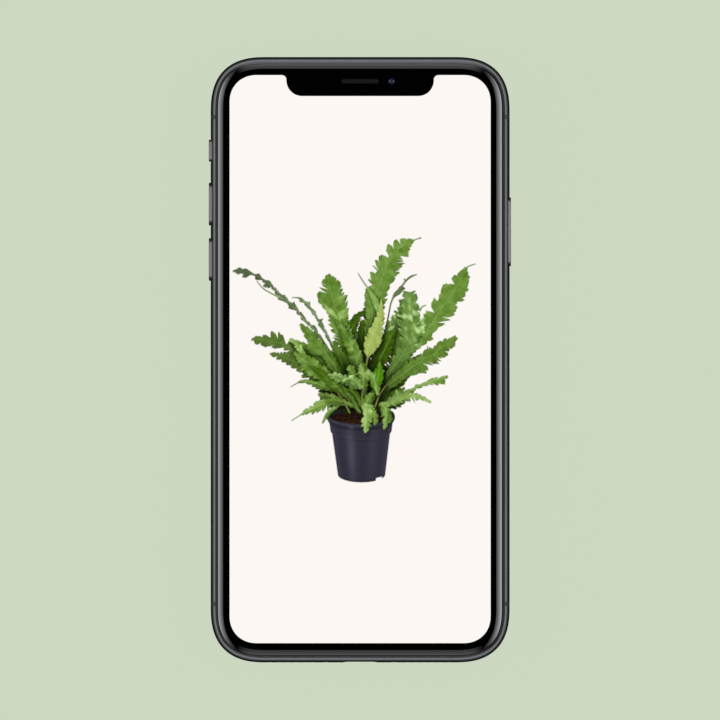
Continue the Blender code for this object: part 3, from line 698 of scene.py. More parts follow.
def make_band(controls):
    """The four lengths of the band, with the slots of the controls and the bottom's holes."""
    top_start = node_high("antenna_break_upper_left").y + BREAK_GAP
    bottom_start = node_low("antenna_break_lower_left").y - BREAK_GAP
    top = built("band_top", sweep, end_stations(1, top_start), band_profile())
    finish_piece(top, "dark_steel", replaced="frame_top")
    bottom = built("band_bottom", sweep, end_stations(-1, bottom_start), band_profile())
    carve(bottom, *bottom_cutters())
    finish_piece(bottom, "dark_steel", replaced="frame_bottom")
    for side, name in ((-1, "left"), (1, "right")):
        node = "frame_" + name
        ends = node_low(node).y, node_high(node).y
        stations = straight_stations(side * HALF_WIDTH, *ends)
        rail = built("band_" + name, sweep, stations, band_profile())
        carve(rail, *[slot_cutter(ring, side, y) for ring, y in controls[side]])
        finish_piece(rail, "dark_steel", replaced=node)


def bottom_cutters():
    """What is cut from the bottom edge: the socket's mouth, the screws' bores and the vents."""
    mouth = lying(stadium_ring(PORT_LENGTH, PORT_HEIGHT))
    wide, eased = -PORT_CLEARANCE, PORT_WALL - PORT_EASE
    levels = [(wide, -4), (wide, -SHELL_DEPTH), (PORT_WALL, -SHELL_DEPTH)]
    levels += [(PORT_WALL, -0.10), (eased, 0), (eased, 1)]
    cutters = [built("cut_port", stack, mouth, levels, from_bottom(0))]
    bore, vent = circle_ring(SCREW_RADIUS + SCREW_GAP), circle_ring(HOLE_RADIUS, 32)
    for side in (-1, 1):
        place = from_bottom(side * SCREW_X)
        cutters.append(built("cut_bore", stack, bore, bore_levels(SCREW_DEPTH, 0.08), place))
        for index in range(HOLES_PER_SIDE):
            place = from_bottom(side * (HOLES_START_X + HOLE_PITCH * index))
            cutters.append(built("cut_vent", stack, vent, bore_levels(VENT_DEPTH, 0.10), place))
    return cutters


# Controls


def control_size(node):
    """Length along Y, width along Z, middle along Y and outermost X of a control's cap."""
    low, high = node_low(node), node_high(node)
    return high.y - low.y, high.z - low.z, (high.y + low.y) / 2, max(abs(low.x), abs(high.x))


def cap_levels(inner, outer):
    """A cap that tapers outwards, with a round outer edge and a barely crowned face."""
    soft = CAP_SOFTNESS
    end = outer - CAP_CROWN - soft
    levels = [(0, inner), (0, HALF_WIDTH - CAP_TAPER_START)]
    for step in range(7):
        angle = math.radians(90 * step / 6)
        levels.append((CAP_TAPER + soft * (1 - math.cos(angle)), end + soft * math.sin(angle)))
    levels.append((CAP_TAPER + soft + 0.5, outer))
    return levels


def make_button(name, node, body, side):
    length, width, y, outer = control_size(node)
    ring = stadium_ring(length - 2 * FLANGE_MARGIN, width - 2 * FLANGE_MARGIN)
    flange = HALF_WIDTH - BAND_WALL_INSET - SLOT_GAP
    levels = [(-FLANGE_MARGIN, flange - FLANGE_THICKNESS), (-FLANGE_MARGIN, flange), (0, flange)]
    obj = built(name, stack, ring, levels + cap_levels(flange + 0.1, outer), from_side(side, y))
    finish_piece(obj, "satin_steel", node, body)
    return ring, y


def make_ring_lever():
    length, width, y, outer = control_size("ring_switch")
    levels = cap_levels(HALF_WIDTH - BAND_WALL_INSET - 0.5, outer)
    place = from_side(-1, y, MID_Z + RING_TRAVEL / 2)
    obj = built("ring_lever_cap", stack, stadium_ring(length, width), levels, place)
    finish_piece(obj, "satin_steel", "ring_switch", "ring_lever")
    return box_ring((width + RING_TRAVEL) / 2, length / 2, width / 2), y


def make_card_tray():
    """The tray: a piece of the band for its door, and a plate with a pocket for the card."""
    low, high = node_low("sim_tray"), node_high("sim_tray")
    y = (low.y + high.y) / 2
    ring = stadium_ring(TRAY_DOOR_LENGTH, TRAY_DOOR_WIDTH)
    half_length, half_height = DOOR_BLANK
    outer = band_profile()[: BAND_ARC_STEPS + 1]
    outer = [item for item in outer if abs(item[1] - MID_Z) < half_height]
    depth = HALF_WIDTH - TRAY_DOOR_INNER
    section = outer + [(depth, outer[-1][1]), (depth, outer[0][1])]
    stations = straight_stations(HALF_WIDTH, y - half_length, y + half_length)
    tray = built("card_tray_and_door", sweep, stations, section)
    outline = built("door_outline", stack, ring, [(0, 30), (0, 38)], from_side(1, y))
    carve(tray, outline, operation="INTERSECT")

    end, half, chamfer = TRAY_DOOR_INNER + 0.6, TRAY_HALF_THICKNESS, TRAY_CHAMFER
    plate = box_ring((end - low.x) / 2, TRAY_HALF_WIDTH, 0.5)
    levels = [(chamfer, -half), (0, chamfer - half), (0, half - chamfer), (chamfer, half)]
    place = at((end + low.x) / 2, y, MID_Z)
    carve(tray, built("plate", stack, plate, levels, place), operation="UNION")

    place = at(CARD_X, y, MID_Z)
    pocket = box_ring(CARD_WIDTH / 2 + CARD_GAP, CARD_LENGTH / 2 + CARD_GAP, 0.3)
    window = box_ring(CARD_WIDTH / 2 - TRAY_LEDGE, CARD_LENGTH / 2 - TRAY_LEDGE, 0.5)
    eased = PIN_RADIUS + PIN_EASE
    pin = [(PIN_RADIUS, HALF_WIDTH - PIN_DEPTH), (PIN_RADIUS, HALF_WIDTH - 0.06)]
    pin += [(eased, HALF_WIDTH + 0.03), (eased, HALF_WIDTH + 1)]
    pin_place = from_side(1, y - TRAY_DOOR_LENGTH / 2 + PIN_FROM_END)
    carve(
        tray,
        built("pocket", stack, pocket, [(0, half - POCKET_DEPTH), (0, 2)], place),
        built("window", stack, window, [(0, -2), (0, 2)], place),
        built("pin", turned, pin, pin_place, 32),
    )
    finish_piece(tray, "dark_steel", replaced="sim_tray", body="card_tray")
    return ring, y


def make_controls():
    """All controls, and for each side the outlines and places of their slots."""
    left = [
        make_button("volume_up_cap", "volume_up_button", "volume_up", -1),
        make_button("volume_down_cap", "volume_down_button", "volume_down", -1),
        make_ring_lever(),
    ]
    right = [make_button("side_key_cap", "side_button", "side_key", 1), make_card_tray()]
    return {-1: left, 1: right}


# The front: cover glass, lit screen, earpiece and camera


def glass_edge_levels(edge_inset, flat_height, facing):
    """Levels of a glass edge that curves from steep, outside, to shallow at a faint crease."""
    radius = (GLASS_FLAT_INSET - edge_inset) / (math.sin(EDGE_STEEP) - math.sin(EDGE_SHALLOW))
    levels = []
    for step in range(EDGE_STEPS + 1):
        tilt = EDGE_STEEP + (EDGE_SHALLOW - EDGE_STEEP) * step / EDGE_STEPS
        inset = GLASS_FLAT_INSET + radius * (math.sin(EDGE_SHALLOW) - math.sin(tilt))
        drop = radius * (math.cos(EDGE_SHALLOW) - math.cos(tilt))
        levels.append((inset, flat_height - facing * drop))
    return levels


def make_cover_glass():
    """The cover glass with its curved edge, the slit, the camera's hole and the screen's bed."""
    bm = bmesh.new()
    levels = [(GLASS_EDGE_INSET + 0.08, GLASS_BOTTOM), (GLASS_EDGE_INSET, GLASS_BOTTOM + 0.05)]
    levels += glass_edge_levels(GLASS_EDGE_INSET, THICKNESS, 1)
    edge = walls(bm, ring_of(BODY_OUTLINE), levels, material=1)
    outline = screen_outline()
    bed = walls(bm, lambda inset: outline, [(0, THICKNESS), (0, SCREEN_FLOOR)])
    slit_ring = lying(stadium_ring(SLIT_LENGTH, SLIT_HEIGHT))
    slit_levels = [(-0.05, THICKNESS), (0, THICKNESS - 0.05), (0, GLASS_BOTTOM)]
    slit = walls(bm, slit_ring, slit_levels, at(0, SENSOR_Y))
    eye_levels = [(0, THICKNESS), (0, LENS_FLOOR)]
    eye = walls(bm, circle_ring(LENS_RADIUS), eye_levels, at(CAMERA_X, SENSOR_Y))
    fill_between(bm, edge[-1], bed[0], slit[0], eye[0])
    fill_between(bm, bed[-1])
    fill_between(bm, eye[-1])
    fill_between(bm, edge[0], slit[-1])
    obj = object_from("cover_glass", bm)
    finish_piece(obj, "cover_glass", replaced="front_glass", sharp=7, edge="glass_edge")


def make_screen():
    """The lit sheet in the cover glass's bed."""
    bm = bmesh.new()
    outline = screen_outline()
    loops = walls(bm, lambda inset: outline, [(0, SCREEN_FLOOR + 0.005), (0, SCREEN_TOP)])
    fill_between(bm, loops[0])
    fill_between(bm, loops[1])
    finish_piece(object_from("lit_screen", bm), "display", replaced="display_panel")


def make_earpiece_mesh():
    """The earpiece's woven cover: a plate with rows of fine square pits."""
    bm = bmesh.new()
    ring = lying(stadium_ring(SLIT_LENGTH - 0.04, SLIT_HEIGHT - 0.04))
    levels = [(0, node_low("earpiece_grille").z), (0, GRILLE_TOP - 0.04), (0.04, GRILLE_TOP)]
    loops = walls(bm, ring, levels, at(0, SENSOR_Y))
    bm.faces.new(loops[0])
    pits = []
    pit_ring = box_ring(MESH_HALF_PIT, MESH_HALF_PIT, 0.03, 1)
    pit_levels = [(0, GRILLE_TOP), (0, GRILLE_TOP - MESH_PIT_DEPTH)]
    columns = int((SLIT_LENGTH - SLIT_HEIGHT) / MESH_PITCH)
    for column in range(columns):
        for row in range(MESH_ROWS):
            x = (column - (columns - 1) / 2) * MESH_PITCH
            y = (row - (MESH_ROWS - 1) / 2) * MESH_PITCH
            pit = walls(bm, pit_ring, pit_levels, at(0, SENSOR_Y) @ at(x, y))
            bm.faces.new(pit[1])
            pits.append(pit[0])
    fill_between(bm, loops[-1], *pits)
    obj = object_from("earpiece_mesh", bm)
    finish_piece(obj, "woven_mesh", "earpiece_grille")


def make_front_lens():
    """The front camera behind its hole: a dark blue ring round a small domed lens."""
    radius = LENS_RADIUS - 0.02
    profile = [(radius, LENS_FLOOR + 0.01), (radius, LENS_RING_TOP), (0.48, LENS_RING_TOP)]
    profile.append((0.44, LENS_RING_TOP - 0.03))
    profile += dome_points(DOME_RADIUS, DOME_CURVE, DOME_BASE, 12, 0.004)
    obj = built("front_lens", turned, profile, at(CAMERA_X, SENSOR_Y))
    finish_piece(obj, "lens_glass", sharp=40)


# The back: its glass, the camera window and the lenses in it


def window_outline():
    """The camera window's outline and its place."""
    low, high = node_low("rear_camera_window"), node_high("rear_camera_window")
    place = at((low.x + high.x) / 2, (low.y + high.y) / 2)
    return stadium_ring(high.y - low.y, high.x - low.x, 32), place


def make_back_glass():
    bm = bmesh.new()
    levels = glass_edge_levels(BACK_EDGE_INSET, 0, -1)
    levels.reverse()
    levels.append((BACK_EDGE_INSET, BACK_GLASS_TOP - 0.05))
    levels.append((BACK_EDGE_INSET + 0.06, BACK_GLASS_TOP))
    loops = walls(bm, ring_of(BODY_OUTLINE), levels, material=1)
    window, place = window_outline()
    hole = walls(bm, window, [(-0.10, 0), (-0.06, 0.04), (-0.06, BACK_GLASS_TOP)], place)
    fill_between(bm, loops[0], hole[0])
    fill_between(bm, loops[-1], hole[-1])
    obj = object_from("back_cover", bm)
    finish_piece(obj, "back_glass", replaced="back_glass", sharp=7, edge="glass_edge")


def make_camera_window():
    """The flush black window, with a well for each lens and for the flash."""
    bm = bmesh.new()
    ring, place = window_outline()
    top = node_high("rear_camera_window").z
    loops = walls(bm, ring, [(0.10, 0), (0.03, 0.03), (0, 0.10), (0, top)], place)
    wells = []
    for node, radius in WELLS.items():
        middle = middle_of(node)
        well_levels = [(-0.05, 0), (0, 0.05), (0, WINDOW_DEPTH)]
        well = walls(bm, circle_ring(radius, 64), well_levels, at(middle.x, middle.y))
        fill_between(bm, well[-1])
        wells.append(well[0])
    fill_between(bm, loops[0], *wells)
    bm.faces.new(loops[-1])
    finish_piece(object_from("camera_window", bm), "back_glass", replaced="rear_camera_window")
    make_rear_lens("rear_camera_wide")
    make_rear_lens("rear_camera_tele")
    make_flash()


def make_rear_lens(node):
    """A steel ring, black steps and a domed lens, looking out of the window."""
    place = from_back(node)
    outer = LENS_WELL_RADIUS - WELL_GAP
    deep = -WINDOW_DEPTH + 0.01
    ring = [(outer, deep), (outer, -0.06), (outer - 0.06, -0.02), (outer - 0.38, -0.02)]
    ring += [(outer - 0.46, -0.10), (outer - 0.46, deep)]
    finish_piece(built(node + "_ring", turned_ring, ring, place), "dark_steel")
    steps = [(outer - 0.50, deep), (outer - 0.50, -0.22), (2.30, -0.26), (2.26, -0.32)]
    steps += [(1.90, -0.34), (1.86, -0.40), (1.50, -0.42), (1.46, deep)]
    finish_piece(built(node + "_baffle", turned_ring, steps, place), "black_plastic")
    profile = [(REAR_DOME_RADIUS, deep)]
    profile += dome_points(REAR_DOME_RADIUS, REAR_DOME_CURVE, REAR_DOME_BASE, 16, 0.006)
    lens = built(node + "_lens", turned, profile, place, 64)
    finish_piece(lens, "lens_violet", sharp=40)


def make_flash():
    """The flash: a pale phosphor lens with fine rings, in a black well."""
    outer = FLASH_WELL_RADIUS - WELL_GAP
    profile = [(outer, -WINDOW_DEPTH + 0.01), (outer, -0.08), (outer - 0.06, -0.03)]
    for index in range(FLASH_RINGS):
        r = (outer - 0.2) * (1 - index / FLASH_RINGS)
        profile += [(r, -0.03), (r - 0.05, -0.10)]
    profile.append((0.03, -0.03))
    obj = built("flash_lens", turned, profile, from_back("rear_flash"), 64)
    finish_piece(obj, "led")


# The bottom: the socket and the screws


def make_port():
    """The socket's steel shell, its tongue and the contacts on both sides of the tongue."""
    place = from_bottom(0)
    back = below_bottom(node_high("charging_port").y)
    front = below_bottom(node_low("charging_port").y)
    root = back + PORT_FLOOR
    levels = [(0, back), (0, front - 0.06), (0.05, front), (PORT_WALL - PORT_EASE, front)]
    levels += [(PORT_WALL, front - PORT_EASE), (PORT_WALL, root)]
    mouth = lying(stadium_ring(PORT_LENGTH, PORT_HEIGHT))
    shell = built("port_shell", stack, mouth, levels, place)
    finish_piece(shell, "bright_steel", replaced="charging_port")
    ring = box_ring(TONGUE_HALF_WIDTH, TONGUE_HALF_HEIGHT, 0.2)
    end = root + TONGUE_REACH
    tongue_levels = [(0, root + 0.02), (0, end - 0.1), (0.1, end)]
    tongue = built("port_tongue", stack, ring, tongue_levels, place)
    finish_piece(tongue, "black_plastic")
    bm = bmesh.new()
    pad = box_ring(0.19, 0.02, 0.01, 1)
    for index in range(CONTACTS):
        x = (index - (CONTACTS - 1) / 2) * CONTACT_PITCH
        for face in (-1, 1):
            pad_place = place @ at(x, face * (TONGUE_HALF_HEIGHT + 0.005))
            stack(bm, pad, [(0, root + 1.2), (0, end - 0.3)], pad_place)
    finish_piece(object_from("port_contacts", bm), "gold")


def make_screws():
    """Two screw heads, each with a star-shaped socket."""
    for side, name in ((-1, "left"), (1, "right")):
        node = "bottom_screw_" + name
        place = from_bottom(side * SCREW_X)
        head = below_bottom(node_low(node).y)
        back = below_bottom(node_high(node).y)
        bm = bmesh.new()
        rim_levels = [(0, back), (0, head - 0.08), (0.08, head)]
        rim = walls(bm, circle_ring(SCREW_RADIUS, 60), rim_levels, place)
        star = circle_ring(STAR_RADIUS, 60, STAR_LOBES, STAR_LOBE)
        socket_levels = [(-0.02, head), (0, head - 0.02), (0, head - STAR_DEPTH)]
        socket = walls(bm, star, socket_levels, place)
        bm.faces.new(rim[0])
        bm.faces.new(socket[-1])
        wall_between(bm, rim[-1], socket[0])
        finish_piece(object_from("screw_head_" + name, bm), "dark_steel", replaced=node)


# Studio: ground, backdrop, light and camera


def flat_emission(name, colour):
    """Evenly lit material with a trace of diffuse."""
    albedo = (GROUND_ALBEDO, GROUND_ALBEDO, GROUND_ALBEDO, 1)
    glow = {"Emission_Color": (*colour, 1), "Emission_Strength": 1.0}
    material, graph, shader = new_material(
        name, Roughness=1.0, Base_Color=albedo, Specular_IOR_Level=0.0, **glow
    )
    material.cycles.emission_sampling = "NONE"
    return material, graph, shader


def clear_from_behind(material, graph, shader):
    behind = graph.add("ShaderNodeNewGeometry", {}, "Backfacing")
    clear = graph.add("ShaderNodeBsdfTransparent", {}, 0)
    choice = graph.add("ShaderNodeMixShader", {0: behind, 1: shader.outputs[0], 2: clear}, 0)
    graph.feed(material.node_tree.nodes["Material Output"].inputs["Surface"], choice)


def make_stage():
    """A round ground that is clear from below, in a great sphere of the same colour."""
    bm = bmesh.new()
    bmesh.ops.create_circle(bm, cap_ends=True, segments=64, radius=STAGE_REACH * MM)
    bmesh.ops.translate(bm, verts=bm.verts, vec=(0, 0, -GROUND_DROP * MM))
    ground = object_from("ground", bm, outward=False)
    material, graph, shader = flat_emission("ground", linear(GROUND) * GROUND_GLOW)
    clear_from_behind(material, graph, shader)
    ground.data.materials.append(material)
    bm = bmesh.new()
    bmesh.ops.create_icosphere(bm, subdivisions=5, radius=STAGE_REACH * MM)
    backdrop = object_from("backdrop", bm, outward=False)
    backdrop.data.materials.append(flat_emission("backdrop", linear(GROUND))[0])
    for way in ("visible_glossy", "visible_shadow"):
        setattr(ground, way, False)
    for way in ("visible_diffuse", "visible_glossy", "visible_transmission", "visible_shadow"):
        setattr(backdrop, way, False)


# Radiance of the studio by direction, as stops of elevation in degrees and value
SIDE_PANEL = (
    (9.2, 0), (10, 2.35), (14, 2.0), (25, 1.46), (37, 1.02), (48, 0.66), (58, 0.385),
    (66, 0.26), (70, 0.16)
)
PANEL_SCALE = 2.5
RIGHT_PANEL_LIFT = 10.0
SIDE_PANEL_SPREAD = 63.0
# By angle off the X axis
SIDE_PANEL_FADE = ((0, 1), (12, 1), (30, 0.62), (45, 0.22), (58, 0.05), (63, 0))
PANEL_LOW, PANEL_HIGH = 10.0, 66.0
FAR_WALL = (
    (-1.5, 0), (0, 0.40), (2, 0.40), (4, 0.52), (10, 0.52), (20, 0.47), (26, 0.42), (33, 0.31),
    (45, 0.275), (57, 0.24), (61, 0.23), (62.5, 0)
)
NEAR_WALL = (
    (-1.5, 0), (0, 0.10), (16, 0.10), (17.5, 0.42), (23, 0.40), (35, 0.289), (46, 0.235),
    (57, 0.221), (67, 0.215), (68.5, 0)
)
HORIZON = ((-1.5, 0), (0, 0.11), (9.2, 0.11), (10, 0))
HORIZON_FADE = ((0, 1), (15, 1), (40, 0.2), (90, 0))
TABLE = (
    (-90, 0.05), (-36, 0.055), (-27.5, 0.20), (-20.5, 0.42), (-14.5, 0.66), (-7, 0.76),
    (-1.5, 0.74), (0, 0)
)
WALL_START, WALL_FULL = 58.0, 84.0  # angle off the X axis where the far and near walls begin
SWITCH = 0.01  # half the width of the change from one side to the other


def make_world():
    """Two tall soft panels left and right, dim walls ahead and behind, and a bright table."""
    world = bpy.data.worlds.new("studio")
    bpy.context.scene.world = world
    world.use_nodes = True
    graph = Graph(world.node_tree)
    x, y, z = graph.axes(graph.place("Generated"))
    up = graph.math("DEGREES", graph.math("ARCSINE", z))
    slant = graph.math("ARCTAN2", graph.math("ABSOLUTE", y), graph.math("ABSOLUTE", x))
    off_x = graph.math("DEGREES", slant)
    # The side panels narrow to a round top
    share = graph.math("MINIMUM", graph.math("DIVIDE", off_x, SIDE_PANEL_SPREAD), 1.0)
    open_share = graph.math("SQRT", graph.math("SUBTRACT", 1.0, graph.math("POWER", share, 2.0)))
    top = graph.math("MULTIPLY_ADD", open_share, PANEL_HIGH - PANEL_LOW, PANEL_LOW)
    lift = graph.ramp(x, -SWITCH, SWITCH, 0.0, RIGHT_PANEL_LIFT)
    side_up = graph.math("SUBTRACT", up, lift)
    stops = [(angle, value / PANEL_SCALE) for angle, value in SIDE_PANEL]
    side = graph.times(graph.by_angle(side_up, stops), PANEL_SCALE)
    below_top = graph.math("SUBTRACT", top, 1.0)
    side = graph.times(side, graph.ramp(side_up, below_top, top, 1.0, 0.0))
    side = graph.times(side, graph.by_angle(off_x, SIDE_PANEL_FADE))

    wall_share = graph.ramp(off_x, WALL_START, WALL_FULL)
    far_share = graph.times(wall_share, graph.ramp(y, -SWITCH, SWITCH))
    near_share = graph.times(wall_share, graph.ramp(y, SWITCH, -SWITCH))
    far = graph.times(graph.by_angle(up, FAR_WALL), far_share)
    near = graph.times(graph.by_angle(up, NEAR_WALL), near_share)
    horizon = graph.times(graph.by_angle(up, HORIZON), graph.by_angle(off_x, HORIZON_FADE))
    total = graph.by_angle(up, TABLE)
    for light in (side, far, near, horizon):
        total = graph.math("ADD", total, light)
    background = world.node_tree.nodes["Background"]
    graph.feed(background.inputs["Strength"], total)
    background.inputs["Color"].default_value = (1, 1, 1, 1)


def make_camera():
    data = bpy.data.cameras.new("camera")
    camera = new_object("camera", data)
    data.lens = CAMERA_LENS
    data.clip_start, data.clip_end = 0.1, 10.0
    camera.location = Vector((CAMERA_X_OFFSET, CAMERA_Y_OFFSET, MID_Z + CAMERA_DISTANCE)) * MM
    bpy.context.scene.camera = camera
    bpy.context.scene.view_settings.view_transform = "Standard"
    bpy.context.scene.view_settings.look = "None"


def dress_carried_nodes():
    """Gives each CAD node that stays its slot's material."""
    for part in frame["record"]["subparts"]:
        mesh = frame["nodes"][part["node"]].data
        mesh.materials.clear()
        mesh.materials.append(MATERIALS[part["material_slot"]])


# The picture on the display: a potted fern, laid out in steps of its own grid.
# X runs right from the pot's axis and Y up from the pot's foot; depth runs to the viewer.
PICTURE_STEP = 0.2367  # mm on the display to one step of the layout
PICTURE_LOW, PICTURE_HIGH = (-131.0, -3.0), (118.0, 249.0)
GLASS_X, GLASS_Y = 0.18, -29.22  # the pot's foot on the display
CELL, FINE = 0.6, 3  # one cell of the picture's mesh, in steps, and the samples across it
SAMPLE = CELL / FINE
STROKE = 0.6 * SAMPLE  # how far apart a frond's own points lie
EMPTY = -1e9  # depth of a sample that nothing fills

LIGHT = np.array([-0.30, 0.62, 0.72])
LIGHT = LIGHT / np.linalg.norm(LIGHT)

# Leaf colours from shade to light, as display values of red, green and blue.
TONES = {
    "green": ((32, 54, 2), (98, 133, 48), (156, 184, 124)),
    "vivid": ((34, 66, 2), (88, 142, 20), (122, 172, 60)),
    "deep": ((26, 50, 0), (68, 102, 12), (116, 146, 64)),
    "cool": ((38, 62, 18), (106, 142, 64), (184, 206, 150)),
    "fresh": ((54, 84, 18), (126, 160, 76), (180, 204, 136)),
    "pale": ((98, 112, 46), (160, 180, 92), (206, 216, 150)),
    "grey": ((50, 60, 34), (100, 122, 78), (146, 164, 122)),
    "moss": ((42, 60, 16), (88, 114, 46), (122, 148, 78)),
    "stalk": ((58, 46, 14), (132, 112, 58), (168, 150, 96)),
}
MIDDLE_TONE, BRIGHT_SPAN = 0.62, 0.5  # light at the middle tone, and from there to the brightest
RIB_COLOUR, STEM_COLOUR = np.array([170, 202, 118]), np.array([124, 116, 62])
GLINT = 90 * np.array([1.0, 0.93, 1.05])
SHADE_LIGHT, FACING_LIGHT = 0.24, 0.56  # light of a leaf turned away, and what facing it adds
VEIN_DEPTH, MOTTLE_DEPTH, BORDER_DEPTH = 0.035, 0.065, 0.08
STALK = 0.8  # half the width of a frond's bare stalk
BLADE_END = 1.08  # how far across the points go, as a share of the reach


def smooth(low, high, value):
    share = np.clip((value - low) / (high - low), 0, 1)
    return share * share * (3 - 2 * share)


def bell(value, middle, width):
    return np.exp(-(((value - middle) / width) ** 2))


def unit(vectors):
    return vectors / (np.linalg.norm(vectors, axis=-1, keepdims=True) + 1e-9)


def through(points, count):
    """A smooth curve through the points, evenly spaced along it, and its length."""
    points = np.array(points, float)
    ends = np.vstack([2 * points[0] - points[1], points, 2 * points[-1] - points[-2]])
    u = np.linspace(0, 1, 40, endpoint=False)[:, None]
    pieces = []
    for p0, p1, p2, p3 in zip(ends, ends[1:], ends[2:], ends[3:]):
        bend = (2 * p0 - 5 * p1 + 4 * p2 - p3) * u**2 + (3 * p1 - p0 - 3 * p2 + p3) * u**3
        pieces.append(0.5 * (2 * p1 + (p2 - p0) * u + bend))
    line = np.vstack(pieces + [points[-1:]])
    steps = np.linalg.norm(np.diff(line[:, :2], axis=0), axis=1)
    along = np.concatenate([[0], np.cumsum(steps)])
    even = np.linspace(0, along[-1], count)
    curve = [np.interp(even, along, line[:, k]) for k in range(line.shape[1])]
    return np.stack(curve, 1), along[-1]


def lobed_edge(along, lobe, depth, rng):
    """How far out the blade reaches at each place along it, as a share of its width."""
    edge = np.ones_like(along)
    place = -rng.uniform(0, lobe)
    while place < along[-1]:
        length = lobe * rng.uniform(0.5, 1.6)
        reach = 1 + depth * rng.uniform(-0.7, 0.35)
        cut = depth * rng.uniform(0.6, 2.4)
        if rng.uniform() < 0.10:
            cut = min(0.75, 3.2 * cut)
        inside = (along >= place) & (along < place + length)
        q = (along[inside] - place) / length
        peak = rng.uniform(0.55, 0.8)
        rise = np.minimum(q / peak, (1 - q) / (1 - peak))
        edge[inside] = reach * (1 - cut * (1 - rise) ** rng.uniform(1.2, 3.5))
        place += length
    phase = rng.uniform(0, 2 * np.pi, 2)
    tooth = np.sin(2 * np.pi * along / (0.42 * lobe) + phase[0])
    tooth = tooth + np.sin(along / (0.11 * lobe) + phase[1])
    return edge * (1 - 0.13 * depth * (1 + tooth))


def patches(x, y, size, rng):
    """Soft irregular patches, from about -1 to 1: waves that cross at odd angles."""
    total = 0
    for step in range(5):
        angle = rng.uniform(0, 2 * np.pi)
        wave = size * (0.6 + 0.28 * step)
        across = 2 * np.pi * (x * np.cos(angle) + y * np.sin(angle)) / wave
        total = total + np.sin(across + rng.uniform(0, 2 * np.pi))
    return total / 2.6


class Canvas:
    """Colour and depth samples of the picture, filled frond by frond."""

    def __init__(self):
        self.columns, self.rows = (
            int(round((high - low) / SAMPLE)) for low, high in zip(PICTURE_LOW, PICTURE_HIGH)
        )
        self.depth = np.full(self.rows * self.columns, EMPTY)
        self.colour = np.zeros((self.rows * self.columns, 3))
        self.leaf = np.zeros(self.rows * self.columns, bool)

    def put(self, x, y, depth, colour, leaf=False, keep=True):
        """Fills the samples at the kept points that nothing nearer fills."""
        shape = colour.shape[:2]
        x, y, depth, keep = (np.broadcast_to(field, shape) for field in (x, y, depth, keep))
        x, y, depth, colour = x[keep], y[keep], depth[keep], colour[keep]
        column = np.floor((x - PICTURE_LOW[0]) / SAMPLE).astype(int)
        row = np.floor((y - PICTURE_LOW[1]) / SAMPLE).astype(int)
        good = (column >= 0) & (column < self.columns) & (row >= 0) & (row < self.rows)
        place = row[good] * self.columns + column[good]
        depth, colour = depth[good], colour[good]
        nearer = depth > self.depth[place]
        place, depth, colour = place[nearer], depth[nearer], colour[nearer]
        order = np.argsort(depth, kind="stable")
        place = place[order]
        self.depth[place] = depth[order]
        self.colour[place] = colour[order]
        self.leaf[place] = leaf


def tone_colour(tone, light):
    dark, middle, bright = (np.array(c, float) for c in TONES[tone])
    low = np.clip(light / MIDDLE_TONE, 0, 1)[..., None]
    high = np.clip((light - MIDDLE_TONE) / BRIGHT_SPAN, 0, 1)[..., None]
    return dark + (middle - dark) * low + (bright - middle) * high


class Midrib:
    """A frond's middle line at even steps: its points with depth, and the ways along and across."""

    def __init__(self, spine, depth):
        last = len(spine) - 1
        climb = depth[1] - depth[0]
        rising = [(x, y, depth[0] + climb * k / last) for k, (x, y) in enumerate(spine)]
        rough = sum(np.hypot(b[0] - a[0], b[1] - a[1]) for a, b in zip(spine, spine[1:]))
        count = int(rough * 1.05 / STROKE) + 2
        self.points, self.length = through(rising, count)
        self.along = np.linspace(0, self.length, count)
        self.share = self.along / self.length
        self.tangent = unit(np.gradient(self.points[:, :2], axis=0))
        self.normal = np.stack([-self.tangent[:, 1], self.tangent[:, 0]], 1)

    def width(self, stops, skew):
        """The blade's width at each step: the lobes leave the rib lower down than they end."""
        reach = np.interp(self.share, *zip(*stops))
        root = np.maximum.accumulate(self.share - skew * reach / self.length)
        width = np.interp(self.share, root, reach)
        return np.maximum(np.minimum(STALK * (1 - 0.5 * self.share), 1.2), width)


